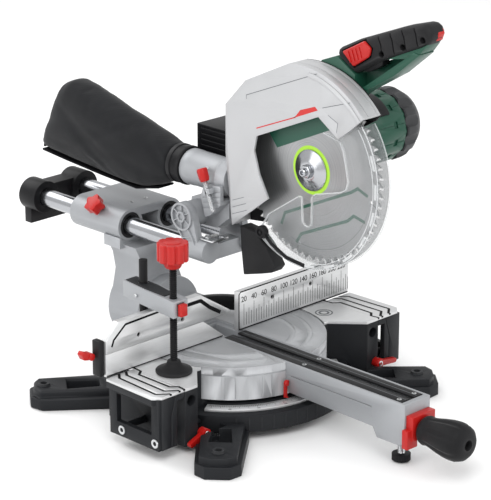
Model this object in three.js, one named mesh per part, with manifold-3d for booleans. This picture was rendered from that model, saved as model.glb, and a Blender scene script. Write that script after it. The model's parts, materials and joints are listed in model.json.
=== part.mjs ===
// Sliding compound mitre saw on its own four-legged base. Millimetres, +Z up, operator stands on the -Y side.
// Everything is drawn about the turntable axis, with the floor at z = 0, and moved as a whole at the end.
import * as THREE from 'three';
import { mergeVertices } from 'three/addons/utils/BufferGeometryUtils.js';
import Module from 'manifold-3d';

const wasm = await Module();
wasm.setup();

// ---- driving dimensions ----
const GAP = 0.3; // clearance left wherever two pieces meet
const TABLE_Z = 93.3; // top of the table
const TABLE_R = 134.7; // turntable radius
const RING_R = 167; // base ring radius
const SKIRT_Z = 46; // underside of the turntable
const FENCE_Y = -3.8; // fence face
const FENCE_SEAM_Z = 125.6; // joint between the fixed and the sliding left fence
const PLATE_T = 4; // table plate thickness
const PLATFORM_X = 190; // joint between fixed table and extension
const PLATFORM_FRONT = -107;
const ARM_W = 25; // half width of the mitre arm
const ARM_FRONT = -348;
const KERF_L = 3.5;
const KERF_R = 5.5;
const BEVEL_Z = TABLE_Z; // the bevel hinge lies in the plane of the table
const BEVEL_R = 52;
const RAIL_X = 38;
const RAIL_Z = 222;
const RAIL_R = 13;
const HOUSE_Y0 = 165;
const HOUSE_Y1 = 270;
const PIVOT = [44, 266]; // head hinge, (y, z)
const HUB = [-154, 365]; // blade centre, (y, z)
const BLADE_R = 127;
const GUARD_R = 147; // outer radius of the upper guard
const LOWER_R = 133; // outer radius of the swinging guard
const MOTOR = [-172, 408.5];
const MOTOR_R = 49;
const POST = [-146, 20]; // clamp post, (x, y)
const SCREW = [-158, -52]; // clamp screw, (x, y)
const GRIP_Z = 56;

const COLOURS = {
  castSilver: [0xb4b7bb, 0.45, 0.6], machined: [0xc8cacc, 0.3, 0.9], paint: [0xc6c9cc, 0.4, 0.3],
  base: [0x2b2d30, 0.7, 0], black: [0x1d1e20, 0.5, 0], rubber: [0x222224, 0.8, 0],
  red: [0xd6261e, 0.4, 0], green: [0x2b5a47, 0.45, 0], steel: [0xa9adb1, 0.3, 1],
  chrome: [0xcfd2d5, 0.1, 1], fabric: [0x2b2c30, 0.95, 0], clear: [0xb8c4c8, 0.1, 0],
};

// ---- shape helpers ----
function solid(geometry) {
  geometry.deleteAttribute('normal');
  geometry.deleteAttribute('uv');
  const g = mergeVertices(geometry, 1e-4);
  return new wasm.Manifold(new wasm.Mesh({
    numProp: 3,
    vertProperties: new Float32Array(g.attributes.position.array),
    triVerts: new Uint32Array(g.index.array),
  }));
}

function box(x0, x1, y0, y1, z0, z1) {
  const g = new THREE.BoxGeometry(x1 - x0, y1 - y0, z1 - z0);
  g.translate((x0 + x1) / 2, (y0 + y1) / 2, (z0 + z1) / 2);
  return solid(g);
}

const X = new THREE.Vector3(1, 0, 0);
const Y = new THREE.Vector3(0, 1, 0);
const Z = new THREE.Vector3(0, 0, 1);

// A flat outline pushed along an axis from a to b. The outline is (y, z) for x, (x, z) for y and (x, y) for z.
function prism(points, axis, a, b) {
  const shape = new THREE.Shape(points.map((p) => new THREE.Vector2(p[0], p[1])));
  const g = new THREE.ExtrudeGeometry(shape, { depth: b - a, bevelEnabled: false });
  const m = new THREE.Matrix4();
  if (axis === 'x') m.makeBasis(Y, Z, X).setPosition(a, 0, 0);
  else if (axis === 'y') m.makeBasis(X, Z, Y.clone().negate()).setPosition(0, b, 0);
  else m.setPosition(0, 0, a);
  g.applyMatrix4(m);
  return solid(g);
}

const rad = (degrees) => (degrees * Math.PI) / 180;

function arc(c, r, from, to, n) {
  const out = [];
  for (let i = 0; i <= n; i++) {
    const t = rad(from + ((to - from) * i) / n);
    out.push([c[0] + r * Math.cos(t), c[1] + r * Math.sin(t)]);
  }
  return out;
}

const circle = (c, r, n = 32) => arc(c, r, 0, 360, n).slice(0, n);
const cyl = (axis, c, r, a, b, n = 32) => prism(circle(c, r, n), axis, a, b);
const sector = (c, r0, r1, from, to, n) => [...arc(c, r1, from, to, n), ...arc(c, r0, to, from, n)];

// The outline that wraps a set of points.
function wrap(points) {
  const p = [...points].sort((a, b) => a[0] - b[0] || a[1] - b[1]);
  const turn = (o, a, b) => (a[0] - o[0]) * (b[1] - o[1]) - (a[1] - o[1]) * (b[0] - o[0]);
  const half = (list) => {
    const h = [];
    for (const q of list) {
      while (h.length > 1 && turn(h[h.length - 2], h[h.length - 1], q) <= 0) h.pop();
      h.push(q);
    }
    h.pop();
    return h;
  };
  return [...half(p), ...half(p.reverse())];
}

// A turned piece: the profile is (radius, height) pairs, placed by a matrix that carries its height axis.
function turned(profile, matrix, n = 28) {
  const g = new THREE.LatheGeometry(profile.map((p) => new THREE.Vector2(p[0], p[1])), n);
  g.rotateX(Math.PI / 2);
  g.applyMatrix4(matrix);
  return solid(g);
}

// Carries a shape's own +Z to a direction, with its origin at a place.
function aim(place, direction) {
  const q = new THREE.Quaternion().setFromUnitVectors(Z, new THREE.Vector3(...direction).normalize());
  return new THREE.Matrix4().makeRotationFromQuaternion(q).setPosition(...place);
}

const join = (...all) => all.reduce((a, b) => a.add(b));
const mirrored = (points) => points.map((p) => [-p[0], p[1]]).reverse();

const root = new THREE.Group();
root.name = 'mitre_saw';

function part(name, manifold, colour) {
  const m = manifold.getMesh();
  const g = new THREE.BufferGeometry();
  g.setAttribute('position', new THREE.BufferAttribute(new Float32Array(m.vertProperties), 3));
  g.setIndex(new THREE.BufferAttribute(new Uint32Array(m.triVerts), 1));
  g.computeVertexNormals();
  const [hex, roughness, metalness] = COLOURS[colour];
  const clear = colour === 'clear';
  const material = new THREE.MeshStandardMaterial({ color: hex, roughness, metalness });
  if (clear) Object.assign(material, { transparent: true, opacity: 0.35 });
  const mesh = new THREE.Mesh(g, material);
  mesh.name = name;
  root.add(mesh);
}

// ---- base: ring, fixed tables, legs, fence ----
const PLATFORM = [[100, 45], [100, -66], [129, -66], [167, PLATFORM_FRONT], [PLATFORM_X, PLATFORM_FRONT], [PLATFORM_X, 45]];
const ROD_Y = [-82, -28];
const ROD_Z = 27;
const ROD_R = 5;

function baseCasting() {
  const side = (points) => prism(points, 'z', 10, TABLE_Z - PLATE_T - GAP)
    .subtract(cyl('z', [0, 0], 138, SKIRT_Z - 0.4, 100, 72));
  let body = join(
    cyl('z', [0, 0], RING_R, 12, 36, 72), cyl('z', [0, 0], 134, 30, 40.8, 72),
    cyl('z', [0, 0], 115, 30, SKIRT_Z - 0.4, 72),
    side(PLATFORM), side(mirrored(PLATFORM)),
  );
  for (const s of [-1, 1]) {
    for (const y of ROD_Y) {
      const [a, b] = s < 0 ? [-192, -88] : [88, 192];
      body = body.subtract(cyl('x', [y, ROD_Z], ROD_R + 0.4, a, b, 20));
    }
  }
  return body.subtract(cyl('z', POST, 6.4, 69, 95, 24));
}

function tablePlate(points, withPost) {
  const plate = prism(points, 'z', TABLE_Z - PLATE_T, TABLE_Z).subtract(cyl('z', [0, 0], 138, 80, 100, 72));
  return withPost ? plate.subtract(cyl('z', POST, 6.4, 80, 100, 24)) : plate;
}

// One leg, drawn outwards along +X from the axis and then turned to its direction.
function legShape(angle, reach) {
  const outline = (grow, z0, z1) => {
    const w = 31 - grow;
    const root0 = 35 - grow;
    const points = [[168, -root0], [reach - 14, -w], [reach - grow, -w + 14], [reach - grow, w - 14], [reach - 14, w], [168, root0]];
    return prism(points, 'z', z0, z1);
  };
  const window = prism([[186, -12], [232, -16], [232, 16], [186, 12]], 'z', -1, 60);
  const g = join(outline(0, 0, 17), outline(6, 10, 27)).subtract(window)
    .subtract(cyl('z', [0, 0], RING_R + GAP, -1, 60, 72));
  const keep = box(100, PLATFORM_X + GAP, PLATFORM_FRONT - GAP, 45 + GAP, 10 - GAP, 60);
  const lever = box(128, 198, -121, PLATFORM_FRONT + 1, 8, 60);
  const room = keep.add(lever);
  return g.rotate([0, 0, angle]).subtract(room).subtract(room.mirror([1, 0, 0]));
}

const LEGS = [['front_left', 222.05, 293], ['front_right', 317.95, 293], ['rear_left', 142.3, 284], ['rear_right', 37.7, 284]];

part('base_casting', baseCasting(), 'base');
for (const [name, angle, reach] of LEGS) part(`leg_${name}`, legShape(angle, reach), 'base');
part('mitre_scale', prism(sector([0, 0], 136.4, 154, 212, 328, 40), 'z', 36 + GAP, 40), 'machined');
part('table_left', tablePlate(mirrored(PLATFORM), true), 'machined');
part('table_right', tablePlate(PLATFORM, false), 'machined');

const FENCE_Z0 = TABLE_Z + GAP;
const fenceLeft = join(
  prism([[-236.6, FENCE_Z0], [-16, FENCE_Z0], [-57, FENCE_SEAM_Z - 0.2], [-236.6, FENCE_SEAM_Z - 0.2]], 'y', FENCE_Y, 8),
  box(-225, -60, 6, 31, FENCE_Z0, 99),
).subtract(cyl('z', POST, 6.4, 90, 110, 24));
part('fence_left', fenceLeft, 'machined');
part('fence_right', join(
  box(11.6, 237.2, FENCE_Y, 5, FENCE_Z0, 151), box(60, 225, 4, 31, FENCE_Z0, 99),
), 'machined');
part('fence_bridge', prism(sector([0, 20], 60, 72, 0, 180, 24), 'z', 99 + GAP, 120), 'black');

const UPPER = [[-236, FENCE_SEAM_Z + 0.2], [-10, FENCE_SEAM_Z + 0.2], [-5.5, 129.7], [-62.8, 166.4], [-213.8, 166.4], [-236, 143.6]];
part('fence_upper', prism(UPPER, 'y', FENCE_Y, 6), 'machined');
part('fence_end', box(-246, -237, -2, 14, 95, 146), 'black');
part('fence_lever', join(
  cyl('y', [-252, 124], 5, 6, 20, 20), prism([[-252, 119.5], [-252, 128.5], [-265, 134], [-268, 130], [-264, 122]], 'y', 8, 18),
), 'red');

// ---- table extensions ----
const EXT_PLATE = [[PLATFORM_X + 0.6, -6], [PLATFORM_X + 0.6, PLATFORM_FRONT], [231, PLATFORM_FRONT], [241, -97], [239, -6]];

function extensionFrame(s) {
  const place = (points) => (s < 0 ? mirrored(points) : points);
  const bar = (x0, x1, y0, y1, z0, z1) => (s < 0 ? box(-x1, -x0, y0, y1, z0, z1) : box(x0, x1, y0, y1, z0, z1));
  const top = TABLE_Z - PLATE_T - GAP;
  const wall = bar(229, 237, -106, -10, 17, top).subtract(bar(220, 245, -92, -24, 37, 77));
  const rods = ROD_Y.map((y) => cyl('x', [y, ROD_Z], ROD_R, s < 0 ? -235 : 92, s < 0 ? -92 : 235, 20));
  return join(
    prism(place(EXT_PLATE), 'z', 81, top), wall, ...rods,
    bar(204, 232, PLATFORM_FRONT, -99, 17, top), bar(212, 232, PLATFORM_FRONT, -12, 17, 20),
  );
}

for (const [side, s] of [['left', -1], ['right', 1]]) {
  const plate = s < 0 ? mirrored(EXT_PLATE) : EXT_PLATE;
  part(`ext_${side}_plate`, prism(plate, 'z', TABLE_Z - PLATE_T, TABLE_Z), 'machined');
  part(`ext_${side}_frame`, extensionFrame(s), 'base');
}

function lockLever(x, z, tipX, tipZ) {
  const width = 4.5;
  return join(
    cyl('y', [x, z], 7, -119, PLATFORM_FRONT - GAP, 20),
    prism(wrap([...circle([x, z], width, 12), ...circle([tipX, tipZ], 3.5, 12)]), 'y', -118, -111),
  );
}
part('ext_left_lock', lockLever(-161, 24, -187, 15), 'red');
part('ext_right_lock', lockLever(184, 28, 216, 24), 'red');

// ---- turntable, mitre arm and its controls ----
part('turntable_disc', cyl('z', [0, 0], TABLE_R, SKIRT_Z, TABLE_Z, 72)
  .subtract(box(-ARM_W - GAP, ARM_W + GAP, -140, 60 + GAP, 60, 100))
  .subtract(box(-45, 45, 95, 140, 60, 100))
  .subtract(box(-53, 53, 119.5, 140, 40, 100)), 'machined');

part('mitre_arm', prism([
  [60, 60 + GAP], [60, TABLE_Z], [ARM_FRONT, TABLE_Z], [ARM_FRONT, 38], [-339, 33.5], [-300, 33.5], [-292, 47],
  [-137.5, 50], [-137.5, 60 + GAP],
], 'x', -ARM_W, ARM_W)
  .subtract(box(-21.3, 21.3, -340, 50, 90, 100))
  .subtract(box(-10, 14, -335, 45, 76, 100))
  .subtract(cyl('z', [0, -322], 5.4, 30, 66, 20)), 'castSilver');
part('kerf_plate_left', box(-21, -KERF_L, -338, -8, 90 + GAP, TABLE_Z), 'black');
part('kerf_plate_right', box(KERF_R, 21, -338, -8, 90 + GAP, TABLE_Z), 'black');
part('mitre_latch', join(
  box(-22, 22, -360, ARM_FRONT - GAP, 44, 78), box(-30, -10, -358, ARM_FRONT - GAP, 34, 60),
).subtract(cyl('y', [0, GRIP_Z], 13, -370, -340, 24)), 'red');

const GRIP = [[0, 0], [19, 0], [20.5, 4], [19, 12], [21, 22], [24.5, 38], [26.5, 52], [25.5, 62], [20, 71], [12, 74], [0, 74]];
part('mitre_grip', join(
  turned(GRIP, aim([0, -362, GRIP_Z], [0, -1, 0])), cyl('y', [0, GRIP_Z], 7, -364, ARM_FRONT - GAP, 20),
), 'rubber');
part('levelling_foot', join(cyl('z', [0, -322], 13, 1, 11, 28), cyl('z', [0, -322], 5, 8, 55, 20)), 'black');

// ---- bevel head stock ----
part('bevel_bracket', join(
  box(-44.7, 44.7, 95 + GAP, 125, 60 + GAP, 112), cyl('y', [0, BEVEL_Z], BEVEL_R, 120, 137, 40),
), 'castSilver');

function bevelArm() {
  const column = [[-46, 108], [-37, 150], [-42, 176], [-52, 196], [50, 196], [40, 180], [30, 150], [46, 108]];
  const tubes = [-RAIL_X, RAIL_X].map((x) => cyl('y', [x, RAIL_Z], 23.5, HOUSE_Y0, HOUSE_Y1, 36));
  let body = join(
    cyl('y', [0, BEVEL_Z], BEVEL_R, 137 + GAP, 200, 40), prism(column, 'y', 140, 200), box(-58, 58, 166, 200, 190, 206), ...tubes,
    box(-RAIL_X, RAIL_X, HOUSE_Y0, HOUSE_Y1, 233, 245.5), box(-RAIL_X, RAIL_X, HOUSE_Y0, 240, 199, 208),
  );
  for (const x of [-RAIL_X, RAIL_X]) {
    body = body.subtract(cyl('y', [x, RAIL_Z], RAIL_R + 0.4, HOUSE_Y0 - 1, HOUSE_Y1 + 1, 36))
      .subtract(cyl('y', [x, RAIL_Z], 19, HOUSE_Y0 - 1, HOUSE_Y0 + 6, 36));
  }
  return body;
}
part('bevel_arm', bevelArm(), 'castSilver');
for (const [name, x] of [['near', -RAIL_X], ['far', RAIL_X]]) {
  part(`rail_${name}`, cyl('y', [x, RAIL_Z], RAIL_R, 4 + GAP, 368, 36), 'chrome');
}
part('bevel_lock_lever', join(
  cyl('y', [0, BEVEL_Z], 13, 200 + GAP, 216, 24),
  prism(wrap([...circle([0, BEVEL_Z], 9, 12), ...circle([70, 112], 7, 12)]), 'y', 203, 213),
), 'red');

function lobedKnob(r, lobes, depth, h, matrix) {
  const shape = [];
  const n = lobes * 8;
  for (let i = 0; i < n; i++) {
    const t = (i * 2 * Math.PI) / n;
    const q = r - depth * (0.5 - 0.5 * Math.cos(lobes * t));
    shape.push(new THREE.Vector2(q * Math.cos(t), q * Math.sin(t)));
  }
  const g = new THREE.ExtrudeGeometry(new THREE.Shape(shape), { depth: h, bevelEnabled: false });
  g.applyMatrix4(matrix);
  return solid(g);
}
const KNOB_DIR = [-1, 0, 1];
part('rail_lock_knob', join(
  lobedKnob(14, 5, 4, 14, aim([-RAIL_X - 20.6, 212, RAIL_Z + 20.6], KNOB_DIR)),
  turned([[0, 0], [4, 0], [4, 12], [0, 12]], aim([-RAIL_X - 16.9, 212, RAIL_Z + 16.9], KNOB_DIR)),
), 'red');

// ---- sliding carriage ----
function rearCap() {
  let cap = join(
    cyl('y', [-RAIL_X, RAIL_Z], 24, 350, 385, 32), cyl('y', [RAIL_X, RAIL_Z], 24, 350, 385, 32),
    box(-RAIL_X, RAIL_X, 356, 385, 212, 238), box(-52, 52, 370, 384, 180, 225),
  );
  for (const x of [-RAIL_X, RAIL_X]) cap = cap.subtract(cyl('y', [x, RAIL_Z], RAIL_R + GAP, 345, 368 + GAP, 36));
  return cap;
}
part('rear_cap', rearCap(), 'black');

function pivotBracket() {
  const cheek = wrap([...circle(PIVOT, 20, 28), ...circle([24, RAIL_Z], 12, 20)]);
  let body = join(
    cyl('y', [-RAIL_X, RAIL_Z], 17, 0, 45, 32), cyl('y', [RAIL_X, RAIL_Z], 17, 0, 45, 32),
    box(-RAIL_X, RAIL_X, 5, 30, 206, 228), prism(cheek, 'x', -50, -39), prism(cheek, 'x', 39, 50),
  );
  for (const x of [-RAIL_X, RAIL_X]) body = body.subtract(cyl('y', [x, RAIL_Z], RAIL_R + GAP, 4, 60, 36));
  return body.add(cyl('x', PIVOT, 6, -52, 52, 24));
}
part('pivot_bracket', pivotBracket(), 'castSilver');
part('stop_plate', join(box(-47, -18, -14, 12, 239 + GAP, 241.4), cyl('z', [-RAIL_X, 6], 4, 239 + GAP, 243.5, 16)), 'steel');

// ---- head ----
function headArm() {
  const main = [[63, 262], [50, 247.5], [9, 250], [-10, 266], [-14.5, 268], [-14.5, 296], [22, 296], [60, 284]];
  const left = [[-14.5, 291], [5, 273], [16, 268], [24, 296], [18, 314], [-14.5, 318]];
  const body = join(
    prism(main, 'x', -17, 20), cyl('x', PIVOT, 18.5, -38.5, 38.5, 32),
    prism([[60, 268], [40, 270], [-14.5, 286], [-14.5, 296], [22, 296], [60, 284]], 'x', 18, 36),
    prism(left, 'x', -34, -27.6), prism([[-14.5, 291], [5, 273], [16, 268], [24, 296], [-14.5, 296]], 'x', -34, -16),
  );
  const lug = new THREE.BoxGeometry(12, 14, 7);
  lug.applyMatrix4(aim([-38, 3.3, 308], [0, 20, 49]));
  return body.add(solid(lug)).subtract(cyl('x', PIVOT, 6.3, -60, 60, 24))
    .subtract(turned([[0, -20], [4.4, -20], [4.4, 20], [0, 20]], aim([-40, 3.3, 308], [0, 20, 49]), 20));
}
part('head_arm', headArm(), 'castSilver');
const STOP_AXIS = [0, 20, 49];
part('depth_stop_screw', turned([
  [0, -28], [4, -28], [4, 16], [7.5, 16], [8.5, 19], [8.5, 31], [6, 34], [0, 34],
], aim([-40, 3.3, 308], STOP_AXIS), 20), 'red');

part('dust_port', cyl('y', [-2, 322], 25, -14.5, 76, 36).subtract(cyl('y', [-2, 322], 21.5, 0, 90, 36)), 'paint');

const SHELL = [
  ...arc(HUB, GUARD_R, 139.2, 81.8, 20), [-53, 473], [-15, 433], [-15, 365], [-27, 264],
];
const FACE = [...SHELL, [-96, 317], [-79, 347], [-69, 379], [-74, 400], [-187, 449], [-222, 426], [-243, 442]];
const INNER = [
  ...arc(HUB, GUARD_R - 3.5, 150, 81.8, 24), [-56, 469], [-18.5, 431], [-18.5, 365], [-30, 266], [-34, 240],
  [-200, 240], [-300, 380],
];
part('upper_guard', join(
  prism(FACE, 'x', -24, -21),
  prism([...SHELL, HUB], 'x', -22, 9.3).subtract(prism(INNER, 'x', -30, 20)),
), 'paint');
part('guard_inner', prism([...SHELL, [-60, 268], [-112, 300], [-205, 420], [-258, 452]], 'x', 9.6, 12)
  .subtract(cyl('x', HUB, 12, 0, 30, 28)), 'black');
part('motor_housing', join(prism(wrap([
  ...circle(HUB, 38, 28), ...circle(MOTOR, MOTOR_R, 36), ...circle([-45.5, 335], 30, 24),
]), 'x', 12 + GAP, 30), cyl('x', MOTOR, MOTOR_R, 30, 114, 40), box(28, 104, -108, -15, 322, 362), box(36.5, 104, -16, 15.5, 322, 362))
  .subtract(cyl('x', HUB, 8.4, 0, 27, 28)), 'green');
part('motor_cap', turned([[0, 0], [49, 0], [49.5, 18], [41, 34], [0, 34]], aim([114.3, ...MOTOR], [1, 0, 0]), 40), 'black');
part('battery', box(38, 104, 16, 106, 316, 370), 'black');

const BUTTON_POCKET = [[-193.4, 532.6], [-234, 554.6], [-248.4, 545], [-245.2, 531.8], [-216, 512.6]];
part('handle_frame', join(prism([
  [-144, 466], [-157, 513], [-183.6, 523.4], [-216, 504], [-217.4, 485], [-234, 492], [-308, 545], [-315, 550.6],
  [-325.2, 549.2], [-319, 544], [-284, 515], [-229, 482], [-206, 465],
], 'x', 13, 41), prism([
  [-210, 500], [-210, 480], [-229, 484.5], [-284, 517], [-316, 546], [-308, 545], [-298, 543.9], [-256, 526.4], [-217, 504],
], 'x', 36, 40.9)), 'green');
part('handle_grip', prism([
  [-185.6, 533.4], [-222, 552], [-297, 581], [-330, 590], [-340, 587], [-344, 577], [-339, 564.5], [-326, 557.4],
  [-298, 545], [-256, 527.6], [-216.6, 505.2], [-184.4, 524.6],
], 'x', 12, 42).subtract(prism([[-221, 495], [-262, 520], [-262, 546], [-221, 529]], 'x', 19, 35))
  .subtract(prism(BUTTON_POCKET, 'x', 10, 17)), 'rubber');
part('trigger', prism([
  [-225, 519], [-258, 534], [-257, 522], [-250, 517.4], [-236, 510.4], [-226, 508.6],
], 'x', 20, 34), 'black');
part('lock_off_button', prism([
  [-196, 532], [-234, 552.4], [-246, 544.2], [-243.2, 532.8], [-216, 515],
], 'x', 8.5, 14), 'red');

part('dust_chute', prism([
  [-31, 262], [-60, 259], [-80, 243], [-99, 217], [-92, 208], [-70, 201], [-38, 192], [-33, 230],
], 'x', -13, 8.5), 'rubber');

// ---- blade and swinging guard ----
part('blade', cyl('x', HUB, BLADE_R, -1.2, 1.2, 96).subtract(cyl('x', HUB, 8.2, -3, 3, 28)), 'steel');
part('arbor', join(
  cyl('x', HUB, 8, -20, 26, 28), cyl('x', HUB, 28, -8, -1.5, 32), cyl('x', HUB, 28, 1.5, 9, 32),
  prism(circle(HUB, 12, 6), 'x', -15, -7),
), 'steel');
part('lower_guard', join(
  prism(sector(HUB, 45, LOWER_R, 140, 310, 44), 'x', -17, -14.5),
  prism(sector(HUB, LOWER_R - 2.5, LOWER_R, 140, 310, 44), 'x', -17, 8),
  prism(sector(HUB, 117, LOWER_R, 140, 310, 44), 'x', 5.5, 8),
), 'clear');
const ROLLER = [HUB[0] + 121 * Math.cos(rad(306)), HUB[1] + 121 * Math.sin(rad(306))];
part('guard_roller', cyl('x', ROLLER, 9, -27, -17 - GAP, 24), 'black');

// ---- dust bag ----
part('dust_collar', cyl('y', [-2, 322], 28, 76.3, 100, 32).subtract(cyl('y', [-2, 322], 21.5, 60, 90, 32)), 'black');
part('dust_bag', prism([
  [100.4, 296], [130, 282], [176, 270], [386, 286], [391, 292], [352, 345], [342, 358], [342, 382], [323, 403],
  [310, 408], [171, 368], [100.4, 350],
], 'x', -34, 34).intersect(prism([
  [-26, 100.4], [22, 100.4], [34, 180], [30, 391], [-30, 391], [-34, 180],
], 'z', 200, 500)), 'fabric');

// ---- clamp ----
part('clamp_post', cyl('z', POST, 6, 70, 233, 24), 'black');
part('clamp_arm', prism([[-158, 48], [-134, 48], [-136, 0], [-145, -66], [-171, -66], [-164, 0]], 'z', 176, 199)
  .subtract(cyl('z', POST, 6.4, 150, 220, 24)).subtract(cyl('z', SCREW, 5.5, 150, 220, 20))
  .subtract(box(-164.4, -151.6, -70, -62, 177.6, 195.4)), 'castSilver');
part('clamp_release', box(-164, -152, -74, -66 - GAP, 178, 195), 'red');
part('clamp_screw', join(
  cyl('z', SCREW, 5, 110 + GAP, 250, 20),
  lobedKnob(21, 10, 2.5, 30, aim([...SCREW, 248], [0, 0, 1])), cyl('z', SCREW, 11, 242, 250, 20),
), 'red');
part('clamp_pad', turned([[0, 0], [25, 0], [25, 4], [18, 7], [9, 16.7], [0, 16.7]], aim([...SCREW, TABLE_Z + GAP], [0, 0, 1])), 'rubber');

// ---- move the whole saw so that the origin is the middle of its underside ----
const bounds = new THREE.Box3().setFromObject(root);
const middle = bounds.getCenter(new THREE.Vector3());
for (const mesh of root.children) mesh.geometry.translate(-middle.x, -middle.y, -bounds.min.z);

export default root;
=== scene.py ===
"""A sliding compound mitre saw on its own four-legged base, dressed piece by piece over its frame.

Lengths in the classes are millimetres measured from the turntable's axis on the floor: x to the
operator's right, y away from the operator, z up. Each class builds one sub-assembly.
"""

from __future__ import annotations

import json
import logging
import math
import random
from dataclasses import dataclass
from enum import Enum
from typing import Callable, Dict, List, Sequence, Tuple

import bpy
from mathutils import Matrix, Vector

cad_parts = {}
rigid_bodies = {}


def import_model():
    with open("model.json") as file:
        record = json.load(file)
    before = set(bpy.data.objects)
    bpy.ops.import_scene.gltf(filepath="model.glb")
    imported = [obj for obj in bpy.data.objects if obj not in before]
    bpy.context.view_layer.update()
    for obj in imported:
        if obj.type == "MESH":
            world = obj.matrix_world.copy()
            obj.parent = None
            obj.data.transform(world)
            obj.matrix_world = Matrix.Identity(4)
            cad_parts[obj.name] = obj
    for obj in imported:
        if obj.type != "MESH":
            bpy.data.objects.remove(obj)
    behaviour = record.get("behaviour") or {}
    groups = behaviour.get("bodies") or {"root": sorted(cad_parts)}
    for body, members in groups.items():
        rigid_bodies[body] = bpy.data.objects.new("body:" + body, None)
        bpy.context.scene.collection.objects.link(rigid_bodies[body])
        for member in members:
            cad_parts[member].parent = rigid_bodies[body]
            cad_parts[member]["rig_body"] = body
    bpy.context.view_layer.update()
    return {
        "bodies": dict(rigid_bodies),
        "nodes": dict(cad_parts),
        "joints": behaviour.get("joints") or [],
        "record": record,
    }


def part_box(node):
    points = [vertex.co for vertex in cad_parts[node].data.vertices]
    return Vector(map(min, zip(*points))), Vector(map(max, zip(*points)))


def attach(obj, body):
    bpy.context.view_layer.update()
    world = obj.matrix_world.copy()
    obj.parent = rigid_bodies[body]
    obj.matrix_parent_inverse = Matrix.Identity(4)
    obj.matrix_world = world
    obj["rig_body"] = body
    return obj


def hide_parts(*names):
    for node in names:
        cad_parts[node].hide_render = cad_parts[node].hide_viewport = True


log = logging.getLogger("mitre_saw")

MM = 0.001
AXIS_X, AXIS_Y = 13.5, 22.5  # the turntable's axis in the frame
Flat = Tuple[float, float]
Spot = Tuple[float, float, float]
Colour = Tuple[float, float, float]


def at(x: float, y: float, z: float) -> Vector:
    """The frame's point, in metres, for a point of the saw in millimetres."""
    return Vector((x + AXIS_X, y + AXIS_Y, z)) * MM


def arc(centre: Flat, radius: float, start: float, stop: float, steps: int = 24) -> List[Flat]:
    """Points along an arc, from one angle in degrees to another."""
    angles = [math.radians(start + (stop - start) * i / steps) for i in range(steps + 1)]
    return [(centre[0] + radius * math.cos(a), centre[1] + radius * math.sin(a)) for a in angles]


def ribbon(path: Sequence[Flat], width: float) -> List[Flat]:
    """The outline of a strip of even width along a path.

    Args:
        path: The strip's middle line.
        width: Its width.

    Returns:
        The strip's corners, all the way round.
    """
    near: List[Flat] = []
    far: List[Flat] = []
    points = [Vector(p) for p in path]
    for i, point in enumerate(points):
        into = (point - points[i - 1]).normalized() if i else (points[1] - point).normalized()
        out = (points[i + 1] - point).normalized() if i + 1 < len(points) else into
        side = Vector((-into.y - out.y, into.x + out.x)).normalized()
        reach = 0.5 * width / max(0.4, side.dot(Vector((-into.y, into.x))))
        near.append(tuple(point + side * reach))
        far.append(tuple(point - side * reach))
    return near + far[::-1]


class Axis(Enum):
    """The direction that an outline is drawn across."""

    X = "x"
    Y = "y"
    Z = "z"

    def place(self, across: float, up: float, along: float) -> Vector:
        """A drawn point and its depth along the axis, as a point of the frame."""
        spots = {"x": (along, across, up), "y": (across, along, up), "z": (across, up, along)}
        return at(*spots[self.value])

    def vector(self) -> Vector:
        """The axis as a unit vector."""
        return Vector({"x": (1, 0, 0), "y": (0, 1, 0), "z": (0, 0, 1)}[self.value])


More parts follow.
